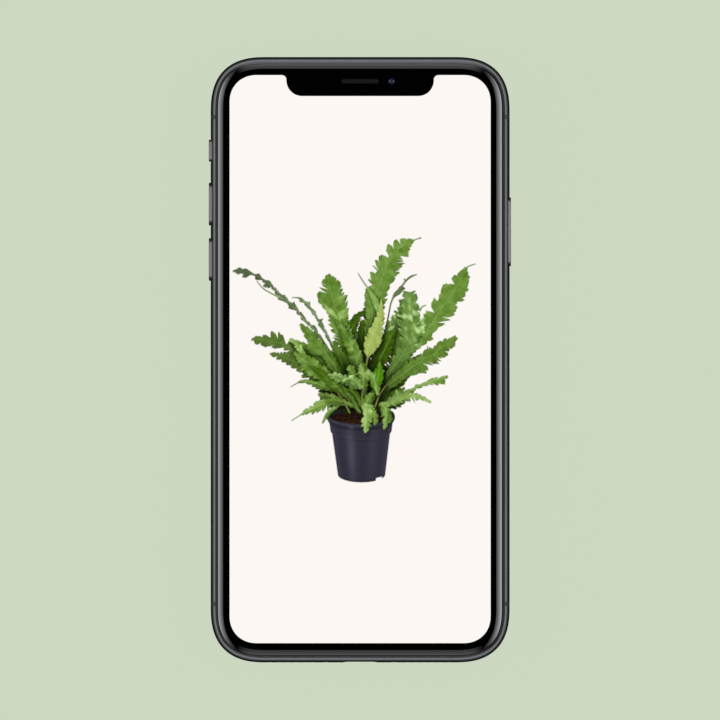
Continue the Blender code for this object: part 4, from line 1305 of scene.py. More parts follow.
def paint_frond(canvas, rng, tone, depth, spine, left, right, tilt=(-0.25, -0.25), lobe=5.0,
                cut=0.2, ruffle=0.3, skew=0.55, gain=1.0, sheen=0.2, shine_at=(0.0, 1.0)):
    """One frond: a midrib through the spine's points, and a lobed, uneven blade on each side."""
    rib = Midrib(spine, depth)
    share = rib.share[:, None]
    start = min(left[0][0], right[0][0])
    shine = smooth(shine_at[0] - 0.12, shine_at[0] + 0.02, share)
    shine = shine * smooth(shine_at[1] + 0.12, shine_at[1] - 0.02, share)
    stem = smooth(start + 0.12, start - 0.1, share)[..., None]
    rib_colour = RIB_COLOUR * (1 - stem) + STEM_COLOUR * stem
    rib_width = 0.50 * (1.2 - share)
    for side, stops, slope in ((1, left, tilt[0]), (-1, right, tilt[1])):
        width = rib.width([(start - 0.06, 0.0), *stops], skew)
        blade = smooth(STALK * 0.9, STALK * 3.0, width)[:, None]
        edge = 1 - (1 - lobed_edge(rib.along, lobe, cut, rng)[:, None]) * blade
        t = np.linspace(0, BLADE_END, int(width.max() / STROKE) + 4)[None, :]
        out = width[:, None] * t
        x, y = (
            rib.points[:, k, None] + side * rib.normal[:, k, None] * out
            + rib.tangent[:, k, None] * skew * out * blade for k in (0, 1)
        )
        swell = patches(x, y, 2.4 * lobe, rng)
        z = rib.points[:, 2:] + slope * out + 0.30 * ruffle * out * blade * t * swell
        place = np.stack([x, y, z], -1)
        face = unit(np.cross(np.gradient(place, axis=0), np.gradient(place, axis=1)))
        lit = np.clip(np.where(face[..., 2:] < 0, -face, face) @ LIGHT, 0, 1)
        vein = np.sin(2 * np.pi * rib.along[:, None] / (0.5 * lobe) + 0.8 * t)
        mottle = patches(x, y, 13.0, rng) + 0.6 * patches(x, y, 4.5, rng)
        light = SHADE_LIGHT + FACING_LIGHT * lit + VEIN_DEPTH * vein * t + MOTTLE_DEPTH * mottle
        border = smooth(0.78, 1.0, t / np.maximum(edge, 0.05)) * blade
        light = gain * light * (1 - BORDER_DEPTH * border)
        glint = smooth(-0.3, 1.5, patches(x, y, 11.0, rng) + 1.5 * (lit - 0.5))
        colour = tone_colour(tone, light) + sheen * (glint * shine)[..., None] * GLINT
        on_rib = (1 - smooth(rib_width * 0.5, rib_width * 1.8, out)) * (1 - 0.5 * share)
        lit_rib = rib_colour * (0.55 + 0.5 * light[..., None])
        colour = colour + (lit_rib - colour) * (0.75 * on_rib[..., None])
        canvas.put(x, y, z, colour, leaf=True, keep=t <= edge)


# A frond's midrib goes through its spine's points, from base to tip. The reach of the blade on
# each side is given as (share of the length, reach); left is the side a climber sees left.
BROAD = (0.2, 0.5, 0.8, 1)
NARROW = (0.1, 0.5, 0.8, 1)
SMALL = (0.1, 0.5, 0.85, 1)
CURLED = (0.1, 0.5, 0.9, 1)
STRAND = (0, 1)


def frond(tone, depth, spine, left, right=None, **more):
    """Settings of a frond; without a right side, both sides are alike."""
    return dict(tone=tone, depth=depth, spine=spine, left=left, right=right or left, **more)


def even_frond(shares, tone, depth, spine, left, right=None, **more):
    """A frond with its reaches given for the same shares on both sides."""
    sides = [list(zip(shares, reaches)) for reaches in (left, right or left)]
    return frond(tone, depth, spine, *sides, **more)


# From the back to the front
FRONDS = [
    # Upper left: two ragged ones seen on edge, and a thin strand along the first.
    frond("grey", (-8, -2), [(-14, 80), (-24, 118), (-45, 152), (-54, 161), (-65, 174), (-73, 181),
        (-81, 188), (-89, 197), (-97, 203), (-106, 208), (-113, 211), (-120, 212.5), (-128, 212)],
        [(0.3, 1), (0.45, 2.8), (0.5, 1.4), (0.55, 4), (0.585, 1.6), (0.62, 4.6), (0.645, 1.4),
         (0.68, 4.2), (0.72, 4.8), (0.74, 1), (0.77, 4.5), (0.81, 5.5), (0.83, 1), (0.86, 4),
         (0.885, 1), (0.9, 2.4), (0.922, 8.5), (0.945, 7), (0.955, 4), (0.975, 5), (0.99, 3),
         (1, 1)],
        [(0.3, 1), (0.45, 2.8), (0.5, 2), (0.6, 3.2), (0.625, 6), (0.64, 1.4), (0.68, 4.2),
         (0.72, 1.6), (0.76, 3), (0.8, 3.2), (0.83, 1.4), (0.86, 4.2), (0.885, 0.8), (0.92, 2.4),
         (0.94, 3), (0.965, 3), (0.985, 1.5), (1, 0.7)],
        cut=0.42, lobe=9, tilt=(-0.5, 0.4), gain=0.84, sheen=0.35, skew=0.3, ruffle=1),
    even_frond(STRAND, "grey", (-4, -4), [(-78, 184), (-90, 190), (-98, 195), (-104, 202)],
        (0.8, 0.4), gain=0.85, cut=0),
    frond("grey", (-9, -5), [(-16, 90), (-24, 124), (-36, 152), (-42, 162), (-48, 171), (-53, 178),
        (-60, 184), (-64, 185.5), (-69, 185.5)],
        [(0.4, 1), (0.6, 3), (0.66, 4.6), (0.7, 1), (0.75, 4), (0.78, 1.1), (0.82, 3), (0.85, 5.4),
         (0.875, 1), (0.91, 3.6), (0.94, 0.7), (1, 0.4)],
        [(0.4, 1), (0.6, 2), (0.655, 2.8), (0.67, 6), (0.69, 1), (0.76, 2.6), (0.82, 1),
         (0.85, 4.4), (0.88, 1), (0.92, 2), (0.95, 0.6), (1, 0.4)],
        cut=0.42, lobe=8, tilt=(0.3, -0.5), gain=0.88, sheen=0.35, skew=0.3, ruffle=1),
    # Dark ones deep in the middle.
    even_frond(BROAD, "deep", (-7, -2), [(-4, 90), (-10, 118), (-12, 138), (-10, 152), (-3, 166),
        (4, 172)], (4, 8, 7, 2), (4, 9, 6, 2), tilt=(0.4, -0.5), gain=0.98),
    even_frond(NARROW, "deep", (-9, -5), [(2, 96), (2, 120), (4, 140), (7, 156), (9, 170)],
        (4, 9, 8, 3), (4, 9, 7, 3), tilt=(-0.4, 0.4), gain=0.9),
    even_frond(NARROW, "deep", (-8, -5), [(16, 88), (28, 108), (36, 126), (42, 140), (46, 152)],
        (5, 10, 8, 3), (4, 9, 7, 3), tilt=(-0.3, 0.3), gain=0.9),
    even_frond(BROAD, "deep", (-7, -3), [(-8, 80), (-20, 104), (-30, 122), (-40, 134), (-50, 142)],
        (5, 9, 8, 2), (5, 8, 7, 2), tilt=(-0.3, 0.3)),
    even_frond(BROAD, "deep", (-7, -3), [(-10, 78), (-30, 96), (-46, 108), (-60, 116)],
        (5, 9, 8, 2), (6, 9, 7, 2), tilt=(-0.3, 0.3), gain=1.05),
    even_frond(BROAD, "green", (-6, -3), [(-4, 84), (-14, 110), (-22, 128), (-27, 142)],
        (5, 8, 7, 2), tilt=(-0.3, 0.4), gain=0.82, sheen=0.1),
    even_frond(BROAD, "deep", (-8, -4), [(12, 80), (26, 98), (40, 112), (54, 122), (62, 128)],
        (5, 9, 8, 2), (4, 6, 5, 2), tilt=(-0.3, 0.3)),
    frond("green", (-7, -1), [(14, 84), (28, 108), (36, 128), (40, 148), (42, 164), (43, 182)],
        [(0.3, 4), (0.55, 8), (0.75, 10), (0.88, 10), (0.95, 6), (1, 2)],
        [(0.3, 4), (0.55, 8), (0.8, 9), (0.95, 6), (1, 2)],
        lobe=7, cut=0.22, tilt=(-0.2, 0.3), gain=0.95, sheen=0.1),
    frond("cool", (-5, 0), [(26, 100), (40, 118), (49, 132), (56, 146), (61, 156), (63, 165)],
        [(0.2, 4), (0.6, 7), (0.9, 6), (1, 2)],
        [(0.2, 4), (0.6, 6), (0.9, 5), (1, 2)],
        cut=0.25, tilt=(0.2, -0.2), gain=1.05, ruffle=0.7, sheen=0.9, shine_at=(0.55, 1)),
    even_frond(BROAD, "deep", (-10, -7), [(8, 98), (4, 125), (1, 146), (2, 163)], (4, 7, 6, 2),
        tilt=(-0.3, 0.4), gain=0.95),
    even_frond(BROAD, "green", (-10, -7), [(-2, 96), (-7, 122), (-9, 142), (-7, 160)], (4, 7, 6, 2),
        tilt=(-0.3, 0.4), gain=0.8),
    even_frond(BROAD, "deep", (-11, -8), [(10, 92), (18, 115), (24, 135), (27, 152)], (4, 8, 7, 3),
        tilt=(-0.3, 0.4), gain=0.95),
    even_frond(BROAD, "cool", (-9, -5), [(18, 112), (24, 132), (27, 148), (29, 162)], (4, 7, 7, 3),
        (4, 8, 7, 3), cut=0.3, tilt=(-0.3, 0.2), ruffle=0.8, sheen=0.7),
    # The broad upright one and the one that crosses in front of its foot.
    frond("green", (-6, 2), [(-5, 77), (-8, 110), (-13, 138), (-19, 158), (-24, 172), (-28.5, 184),
        (-31, 197), (-33.5, 208)],
        [(0.28, 2), (0.42, 9), (0.55, 13), (0.62, 13.5), (0.74, 11), (0.8, 13), (0.87, 15),
         (0.93, 10), (0.97, 6), (1, 2)],
        [(0.28, 3), (0.42, 8), (0.55, 8), (0.64, 9), (0.72, 12), (0.8, 15.5), (0.87, 15),
         (0.93, 12), (0.97, 8), (1, 3)],
        cut=0.16, tilt=(-0.22, 0.22), ruffle=0.2, sheen=0.5, shine_at=(0.56, 0.74)),
    frond("green", (-1, 6), [(-1, 92), (-2, 112), (-6, 130), (-13, 146), (-21, 157), (-25, 163)],
        [(0.2, 3), (0.4, 7), (0.7, 7.5), (0.9, 4), (1, 1)],
        [(0.2, 3), (0.4, 7), (0.7, 6), (0.9, 3), (1, 1)],
        cut=0.15, tilt=(-0.4, 0.35), gain=1.02, sheen=0.35),
    # Top: the one behind, the tall one with its thread, the folded young one, the thin dark one.
    frond("cool", (-10, -6), [(4, 100), (6, 130), (8, 158), (9, 175), (8, 186), (6, 192)],
        [(0.3, 3), (0.6, 7), (0.85, 7), (1, 2)],
        [(0.3, 3), (0.6, 9), (0.85, 8), (1, 2)],
        cut=0.3, tilt=(-0.4, 0.3), gain=0.86),
    frond("green", (-5, 4), [(0, 78), (5, 118), (9, 150), (12, 172), (15, 189), (19.5, 201),
        (25, 215), (30, 224), (37, 233), (44, 238.5), (52, 243)],
        [(0.34, 2), (0.42, 7), (0.52, 9), (0.6, 12), (0.64, 12.5), (0.665, 6.5), (0.68, 12.5),
         (0.73, 13), (0.745, 7), (0.76, 13.5), (0.83, 12.5), (0.845, 4), (0.86, 12.5), (0.91, 12.5),
         (0.95, 8), (1, 1.5)],
        [(0.34, 4), (0.42, 10), (0.52, 12.5), (0.6, 13), (0.7, 12), (0.76, 14), (0.83, 15.5),
         (0.865, 16), (0.88, 5.5), (0.895, 13), (0.93, 11), (0.97, 7), (1, 2)],
        lobe=6.5, cut=0.16, tilt=(-0.26, 0.14), gain=0.98, ruffle=0.2, sheen=0.12),
    frond("grey", (3, 3), [(46, 240), (53, 243), (60, 245.3)],
        [(0, 0.7), (0.8, 0.4), (1, 0.9)],
        cut=0, gain=0.9),
    frond("fresh", (5, 5), [(22, 162), (16, 178), (10, 190), (5, 198)],
        [(0, 3), (0.55, 3.4), (0.85, 1.8), (1, 0.4)],
        [(0, 3), (0.55, 3.2), (0.85, 1.4), (1, 0.3)],
        cut=0.1, tilt=(-0.2, 0.4), gain=0.94),
    even_frond(STRAND, "grey", (5, 5), [(7, 195), (2, 202), (-3, 210)], (0.6, 0.3), (0.5, 0.3),
        cut=0, gain=0.9),
    frond("grey", (-8, -4), [(24, 150), (28, 170), (30, 180), (33, 187), (38, 192), (41, 197),
        (46, 203.5), (51, 207), (56, 208.6)],
        [(0.4, 0.7), (0.52, 0.8), (0.6, 2.4), (0.7, 2), (0.74, 0.8), (0.8, 1), (0.82, 3.4),
         (0.84, 0.8), (0.92, 1.1), (1, 0.4)],
        [(0.4, 0.6), (0.52, 1), (0.6, 2.6), (0.68, 2.8), (0.71, 4.6), (0.735, 0.8), (0.85, 1),
         (0.92, 1), (1, 0.4)],
        cut=0, tilt=(0.2, -0.4), gain=0.88),
    # Middle right: the dark one by the pale young one, the ruffled one and the pale one.
    frond("deep", (-3, 1), [(6, 90), (12, 106), (18, 122), (26, 138), (34, 154)],
        [(0.1, 4), (0.35, 9), (0.6, 11), (0.85, 9), (0.94, 5), (1, 2)],
        [(0.1, 4), (0.35, 8), (0.6, 9), (0.85, 6), (0.94, 4), (1, 1.5)],
        lobe=7, tilt=(-0.3, -0.1), gain=0.97, sheen=0.05),
    frond("cool", (-7, -3), [(22, 118), (28, 136), (32, 150), (34, 160), (33, 168)],
        [(0.2, 4), (0.5, 8), (0.85, 7), (1, 3)],
        [(0.2, 4), (0.5, 8), (0.85, 8), (1, 3)],
        lobe=4.5, cut=0.35, tilt=(0.2, -0.2), gain=1.1, ruffle=0.9, sheen=1, skew=0.3),
    frond("cool", (-4, 3), [(12, 78), (22, 100), (33, 117), (42, 129), (49, 144), (51.5, 160),
        (51, 176), (49.5, 191)],
        [(0.22, 2), (0.36, 5), (0.5, 10), (0.6, 13), (0.7, 14), (0.77, 17), (0.8, 19.5), (0.84, 19),
         (0.875, 15), (0.9, 12), (0.94, 12.5), (0.98, 10), (1, 7)],
        [(0.22, 2), (0.36, 6), (0.5, 11), (0.6, 12.5), (0.7, 14), (0.76, 12.5), (0.8, 10),
         (0.86, 9), (0.91, 6), (0.95, 8), (0.985, 7), (1, 6)],
        lobe=7.5, cut=0.26, tilt=(0.25, -0.2), gain=0.95, ruffle=0.5, skew=0.3, sheen=0.7,
         shine_at=(0.66, 0.88)),
    frond("pale", (6, 12), [(4, 112), (8, 130), (13, 145), (17, 158), (19.5, 170), (20.5, 184)],
        [(0.2, 1), (0.28, 6.5), (0.4, 10), (0.55, 8.5), (0.75, 5), (0.9, 2), (1, 0.5)],
        [(0.2, 1), (0.28, 5), (0.4, 8.5), (0.55, 7.5), (0.75, 5.5), (0.9, 2.4), (1, 0.5)],
        tilt=(-0.2, -0.1), gain=0.87, skew=0.7, sheen=0.06),
    frond("grey", (0, 0), [(59, 172), (61, 176), (65, 178)],
        [(0, 1), (0.5, 0.8), (1, 0.5)],
        [(0, 0.8), (0.4, 0.4), (1, 0.4)],
        cut=0),
    # Right: the long one with its thread, the lower one and the ragged ones by the rim.
    frond("green", (-6, 3), [(12, 78), (30, 106), (48, 130), (60, 144), (67.5, 154.5), (78, 170.5),
        (87, 184), (94, 193), (99.5, 203), (104.5, 215.5)],
        [(0.3, 1.5), (0.42, 4), (0.5, 9), (0.56, 12), (0.6, 9), (0.63, 13), (0.655, 12.5),
         (0.67, 4.5), (0.685, 12), (0.72, 12), (0.745, 12.5), (0.755, 9), (0.8, 12.5), (0.86, 12),
         (0.88, 4), (0.9, 10), (0.95, 6), (1, 1.5)],
        [(0.3, 1.5), (0.42, 4), (0.5, 8), (0.54, 11), (0.56, 7), (0.62, 10), (0.68, 13.5),
         (0.74, 16), (0.78, 14), (0.8, 9), (0.82, 13.5), (0.86, 13), (0.9, 11), (0.95, 8), (1, 2)],
        lobe=7, cut=0.15, tilt=(-0.2, 0.16), gain=0.94, ruffle=0.2, sheen=0.12),
    even_frond(STRAND, "grey", (3, 3), [(103, 214), (108, 217), (114.5, 219.3)], (0.6, 0.3), cut=0,
        gain=0.95),
    frond("green", (-1, 6), [(12, 78), (26, 96), (39, 107), (51.5, 116), (65, 125), (75, 131),
        (83, 137), (95, 146)],
        [(0.15, 2), (0.3, 5), (0.45, 7), (0.54, 9), (0.58, 5), (0.6, 12), (0.62, 5), (0.66, 9),
         (0.72, 8), (0.735, 12.5), (0.755, 5), (0.82, 8), (0.9, 6), (1, 2)],
        [(0.15, 3), (0.3, 6), (0.42, 5.5), (0.5, 8), (0.58, 13), (0.62, 14), (0.64, 10), (0.7, 12),
         (0.78, 10), (0.88, 8), (0.95, 6), (1, 2.5)],
        lobe=6, tilt=(-0.2, 0.2), gain=0.79, ruffle=0.2, sheen=0.12),
    frond("green", (0, 5), [(20, 78), (34, 85), (46, 91), (58, 97), (70, 101.5), (80, 104),
        (87, 106.5)],
        [(0.1, 2), (0.3, 6), (0.42, 3), (0.5, 1.6), (0.56, 4.5), (0.6, 1.6), (0.72, 2.4), (0.86, 4),
         (0.95, 3), (1, 1.4)],
        [(0.1, 2), (0.3, 5), (0.42, 3), (0.55, 2.4), (0.68, 3), (0.8, 5), (0.93, 6.5), (0.96, 2),
         (1, 1)],
        cut=0.34, tilt=(-0.3, 0.3), gain=0.98),
    frond("fresh", (1, 6), [(20, 75), (32, 81), (42, 87), (50, 88), (58, 86), (66, 83), (70, 81)],
        [(0.1, 3), (0.3, 8), (0.42, 9), (0.46, 4), (0.6, 3), (0.75, 4), (0.9, 2.5), (1, 1)],
        [(0.1, 3), (0.3, 5), (0.45, 7), (0.56, 9), (0.6, 4), (0.7, 7), (0.75, 3), (0.9, 3),
         (1, 1.5)],
        lobe=4, cut=0.42, tilt=(-0.2, 0.3), gain=0.92, ruffle=0.6),
    # Left: the dull ones in the fan behind, then the lit ones down to the rim.
    frond("moss", (-5, 2), [(-14, 78), (-38, 104), (-57, 122), (-70, 134), (-82, 140), (-95, 143),
        (-109, 144)],
        [(0.3, 4), (0.5, 7), (0.68, 6), (0.76, 8), (0.86, 9.5), (0.94, 8), (0.98, 4), (1, 2)],
        [(0.3, 4), (0.5, 7), (0.66, 9), (0.71, 9), (0.73, 5), (0.77, 9.5), (0.84, 10), (0.87, 7),
         (0.94, 6.5), (0.98, 4), (1, 2)],
        lobe=8, cut=0.34, tilt=(0.1, -0.1), gain=0.94, sheen=0.05),
    frond("moss", (-3, 3), [(-14, 76), (-36, 98), (-54, 113), (-70, 123), (-82, 128), (-91, 129.5)],
        [(0.3, 5), (0.55, 9), (0.7, 8.5), (0.86, 7), (0.95, 4), (1, 1)],
        [(0.3, 6), (0.55, 9), (0.7, 9), (0.86, 5), (0.95, 2.5), (1, 0.8)],
        lobe=6, cut=0.3, tilt=(0.1, -0.1), gain=0.92, sheen=0.05),
    even_frond(BROAD, "deep", (-2, 2), [(-12, 80), (-24, 104), (-38, 120), (-52, 132), (-62, 139),
        (-70, 143)], (5, 8, 7, 3), (5, 8, 6, 2), lobe=6, gain=1.12, sheen=0.25),
    frond("green", (0, 6), [(-8, 84), (-20, 106), (-33, 127), (-45, 142), (-53, 151), (-60.5, 159)],
        [(0.3, 3), (0.45, 6), (0.58, 5), (0.66, 12), (0.76, 14), (0.82, 7), (0.9, 5), (1, 1.5)],
        [(0.3, 4), (0.5, 6), (0.7, 5.5), (0.85, 4.5), (0.93, 4), (1, 1.5)],
        lobe=7, cut=0.16, tilt=(0.1, -0.5), gain=0.86),
    frond("fresh", (5, 7), [(-52, 122), (-58, 128), (-62, 135), (-66, 141), (-72, 143)],
        [(0, 3), (0.4, 4), (0.8, 3), (1, 1)],
        [(0, 3), (0.4, 4.4), (0.8, 3.4), (1, 1)],
        lobe=4, tilt=(0.5, -0.5), gain=0.95, ruffle=0.6, sheen=0.5),
    frond("green", (2, 8), [(-8, 80), (-22, 96), (-36, 108), (-50, 119), (-60, 126), (-66, 131)],
        [(0.2, 4), (0.4, 9), (0.6, 12), (0.8, 11), (0.92, 6), (1, 2)],
        [(0.2, 4), (0.4, 7), (0.6, 8), (0.8, 7), (0.92, 5), (1, 2)],
        lobe=5.5, cut=0.22, tilt=(-0.1, 0.25), gain=1.03, ruffle=0.4, sheen=0.3),
    even_frond(BROAD, "deep", (4, 9), [(-10, 80), (-20, 92), (-31, 103), (-42, 112), (-50, 117)],
        (4, 7, 5, 1), (4, 5, 4, 1), tilt=(-0.3, 0.3), gain=1.15),
    frond("green", (1, 5), [(-24, 92), (-36, 97), (-47, 100), (-56, 102), (-62, 101), (-70, 96.3)],
        [(0.1, 4), (0.5, 5), (0.62, 2.6), (0.78, 1.8), (0.85, 0.5), (1, 0.4)],
        [(0.1, 3), (0.5, 2.4), (0.78, 1.6), (0.85, 0.5), (1, 0.4)],
        gain=0.98),
    frond("moss", (5, 8), [(-16, 80), (-26, 85), (-34, 88), (-43, 89)],
        [(0.1, 5), (0.6, 6.5), (0.9, 4), (1, 1)],
        [(0.1, 4), (0.6, 3.5), (0.9, 2.5), (1, 1)],
        gain=1.05),
    frond("fresh", (4, 9), [(-12, 78), (-24, 81), (-36, 79), (-47, 74.5), (-58, 69.5), (-64, 66),
        (-69.5, 62.5)],
        [(0.1, 3), (0.3, 5), (0.5, 8.5), (0.62, 5), (0.76, 3), (0.83, 0.5), (1, 0.35)],
        [(0.1, 3), (0.35, 5), (0.5, 8), (0.62, 5), (0.76, 3), (0.83, 0.5), (1, 0.35)],
        lobe=6, cut=0.3, gain=0.85, ruffle=0.4, sheen=0.15),
    frond("green", (8, 10), [(-22, 77), (-30, 73), (-35, 67), (-38.5, 60)],
        [(0.1, 2), (0.5, 3.4), (0.8, 2.2), (1, 0.7)],
        [(0.1, 2), (0.5, 2.4), (1, 0.7)],
        lobe=4, cut=0.3, gain=0.98),
    # Young curled ones over the middle, and small ones at the crown.
    even_frond(SMALL, "green", (3, 7), [(-2, 76), (-12, 88), (-20, 95), (-30, 97)], (2, 5, 4, 1),
        (2, 4, 3, 1), lobe=4.5, cut=0.3, ruffle=0.6, sheen=0.3),
    even_frond(SMALL, "deep", (4, 8), [(0, 76), (-2, 84), (-8, 91), (-14, 94)], (2, 4, 4, 1),
        (2, 4, 3, 1), lobe=4, cut=0.3, gain=1.15, ruffle=0.6),
    even_frond(SMALL, "green", (2, 6), [(4, 76), (3, 86), (4, 94), (2, 101)], (2, 4.5, 4, 1),
        (2, 4, 3, 1), lobe=4, cut=0.3, gain=0.92, ruffle=0.6),
    even_frond(SMALL, "green", (6, 9), [(-6, 76), (-16, 81), (-26, 83), (-36, 82)], (2, 3.4, 3, 1),
        lobe=4, cut=0.3, gain=0.9, ruffle=0.4, sheen=0.1),
    even_frond(SMALL, "deep", (3, 7), [(10, 76), (13, 86), (14, 95), (17, 103)], (2, 4, 3, 1),
        lobe=4, cut=0.3, gain=1.1, ruffle=0.5, sheen=0.1),
    even_frond(CURLED, "cool", (6, 11), [(-4, 94), (-14, 102), (-23, 107), (-33, 108)],
        (4, 6, 4.5, 1.5), (4, 4.5, 3, 1), lobe=4.5, cut=0.3, ruffle=0.9, gain=1.04, sheen=0.4,
        skew=0.2),
    even_frond(CURLED, "cool", (8, 13), [(2, 94), (-4, 101), (-11, 104), (-18, 102)],
        (4, 6, 4, 1.5), (4, 5, 3, 1), lobe=4.5, cut=0.3, ruffle=0.9, gain=1.06, sheen=0.5,
        skew=0.2),
    even_frond(CURLED, "green", (5, 10), [(0, 94), (-6, 103), (-9, 111), (-12, 118)],
        (4, 6, 4.5, 1.5), (3, 6, 4.5, 1), lobe=4.5, cut=0.3, ruffle=0.9, gain=1.08, sheen=0.4,
        skew=0.2),
    even_frond(CURLED, "green", (5, 12), [(2, 92), (3, 102), (3, 111), (0, 120)], (4, 7, 5, 1.5),
        (3, 7, 5, 1), lobe=4.5, cut=0.3, ruffle=0.9, gain=1.06, sheen=0.5, skew=0.2),
    even_frond(CURLED, "green", (8, 13), [(-4, 109), (4, 111), (11, 107), (15, 98), (17, 88)],
        (4, 5, 3, 1), (4, 4.5, 3, 1), lobe=4.5, cut=0.3, ruffle=0.9, gain=1.06, sheen=0.4,
        skew=0.2),
    frond("vivid", (9, 13.5), [(14, 92), (16, 102), (18, 112), (19, 122)],
        [(0.1, 5), (0.4, 8), (0.75, 4.5), (1, 0.6)],
        [(0.1, 4), (0.4, 7), (0.75, 4), (1, 0.6)],
        cut=0.12, tilt=(-0.2, 0.2), gain=0.92, sheen=0),
    even_frond(SMALL, "green", (8, 12), [(4, 74), (6, 80), (9, 85), (13, 90)], (3, 6.5, 4, 1),
        (3, 6, 4, 1), lobe=4.2, cut=0.25, gain=0.9, ruffle=0.6, sheen=0.25),
    frond("green", (9, 12), [(0, 70), (-4, 75), (-7, 81), (-9, 86)],
        [(0.1, 1.6), (0.5, 2.6), (1, 0.8)],
        [(0.1, 1.6), (0.5, 2.4), (1, 0.8)],
        cut=0.1, gain=0.8),
    even_frond(SMALL, "deep", (-3, 0), [(12, 72), (20, 77), (28, 83), (36, 90), (44, 95)],
        (3, 6, 5, 1.5), (3, 5, 4, 1), cut=0.25, gain=1.1),
    frond("deep", (-2, 0), [(16, 73), (24, 77), (32, 79), (40, 80)],
        [(0.1, 2), (0.5, 4), (1, 1)],
        [(0.1, 2), (0.5, 3), (1, 1)],
        cut=0.25, gain=1.1),
    even_frond(SMALL, "deep", (-4, -2), [(8, 74), (16, 80), (23, 86), (29, 92)], (3, 5, 4, 1.5),
        (3, 4, 3, 1), cut=0.25, gain=0.95),
    even_frond(STRAND, "stalk", (10, 12), [(-11, 70), (-17, 81.5), (-23, 90)], (0.7, 0.5),
        (0.6, 0.3), cut=0, gain=0.72),
    even_frond(STRAND, "stalk", (8, 9), [(14, 76), (19, 89), (26, 99)], (0.7, 0.4), (0.6, 0.3),
        cut=0, gain=0.72),
    even_frond(STRAND, "stalk", (6, 7), [(2, 74), (1, 84), (3, 96), (5, 106)], (0.7, 0.5),
        (0.5, 0.3), cut=0, gain=0.68),
    # Hanging over the front of the rim.
    frond("fresh", (10, 13), [(2, 80), (5, 74), (6, 66), (4.5, 50.5)],
        [(0.05, 4), (0.3, 9), (0.45, 8), (0.52, 5), (0.68, 6.5), (0.86, 4.5), (1, 1)],
        [(0.05, 3), (0.25, 7), (0.42, 5), (0.6, 6.5), (0.8, 5), (1, 1)],
        lobe=6.5, cut=0.36, gain=0.92, ruffle=0.5, sheen=0.3),
    frond("green", (9, 12), [(9, 76), (13, 70), (14.5, 64), (14, 58)],
        [(0.05, 2), (0.4, 4.4), (0.8, 3), (1, 1)],
        [(0.05, 2), (0.4, 3.6), (0.8, 3), (1, 1)],
        lobe=4, cut=0.25, gain=0.85),
    frond("green", (9, 13), [(18, 80), (24, 75), (26, 67), (23, 54)],
        [(0.05, 4), (0.3, 8), (0.5, 6.5), (0.75, 4.5), (1, 1)],
        [(0.05, 4), (0.3, 8), (0.5, 7), (0.75, 4.5), (1, 1)],
        lobe=6.5, cut=0.36, gain=0.94, ruffle=0.5, sheen=0.25),
]

FILLER_COUNT = 26


def filler_fronds(rng):
    """Small dark fronds between the others, all from the crown."""
    made = []
    for index in range(FILLER_COUNT):
        angle = np.radians(rng.uniform(18, 162))
        reach = rng.uniform(28, 62)
        way = np.array([np.cos(angle), np.sin(angle) * 0.95])
        base = np.array([rng.uniform(-12, 14), 74])
        bend = rng.uniform(-8, 8)
        middle = base + way * reach * 0.55 + np.array([0, bend])
        size = rng.uniform(4.5, 8)
        made.append(even_frond(
            BROAD, ("deep", "green", "deep")[index % 3], (-10, rng.uniform(-8, 0)),
            [tuple(base), tuple(middle), tuple(base + way * reach)],
            (1, size, 0.8 * size, 0.2 * size), (1, 0.9 * size, 0.7 * size, 0.2 * size), cut=0.24,
            tilt=(rng.uniform(-0.6, 0.6), rng.uniform(-0.6, 0.6)), gain=rng.uniform(0.6, 0.9),
            sheen=0.15,
        ))
    return made


# The pot, in the same steps
RIM_Y, RIM_RADIUS, RIM_SQUASH, RIM_LIP, RIM_ROLL = 67.5, 34.0, 0.29, 6.4, 1.6
WALL_TOP, WALL_RADIUS, BAND_SWELL = 4.0, 30.6, 1.3  # the wall starts below the rim's height
FOOT_Y, FOOT_RADIUS, FOOT_SQUASH, FOOT_SHIFT = 9.0, 23.6, 0.34, 0.6
FOOT_NOTCH_X, FOOT_NOTCH_Y = 18.0, 6.0
SOIL_DROP, SOIL_INSET = 2.5, 2.2
POT_COLOUR, POT_TINT = np.array([50, 48, 60.0]), np.array([1.0, 1.0, 1.12])
SOIL_COLOUR, SOIL_TINT = np.array([62, 36, 26.0]), np.array([1.0, 0.72, 0.56])
INNER_COLOUR, RIM_TINT = np.array([26, 22, 26.0]), np.array([0.96, 0.94, 1.14])
WALL_DEPTH, RIM_FRONT_DEPTH, RIM_BACK_DEPTH, SOIL_DEPTH = 7, 7.5, -12.0, -14.0


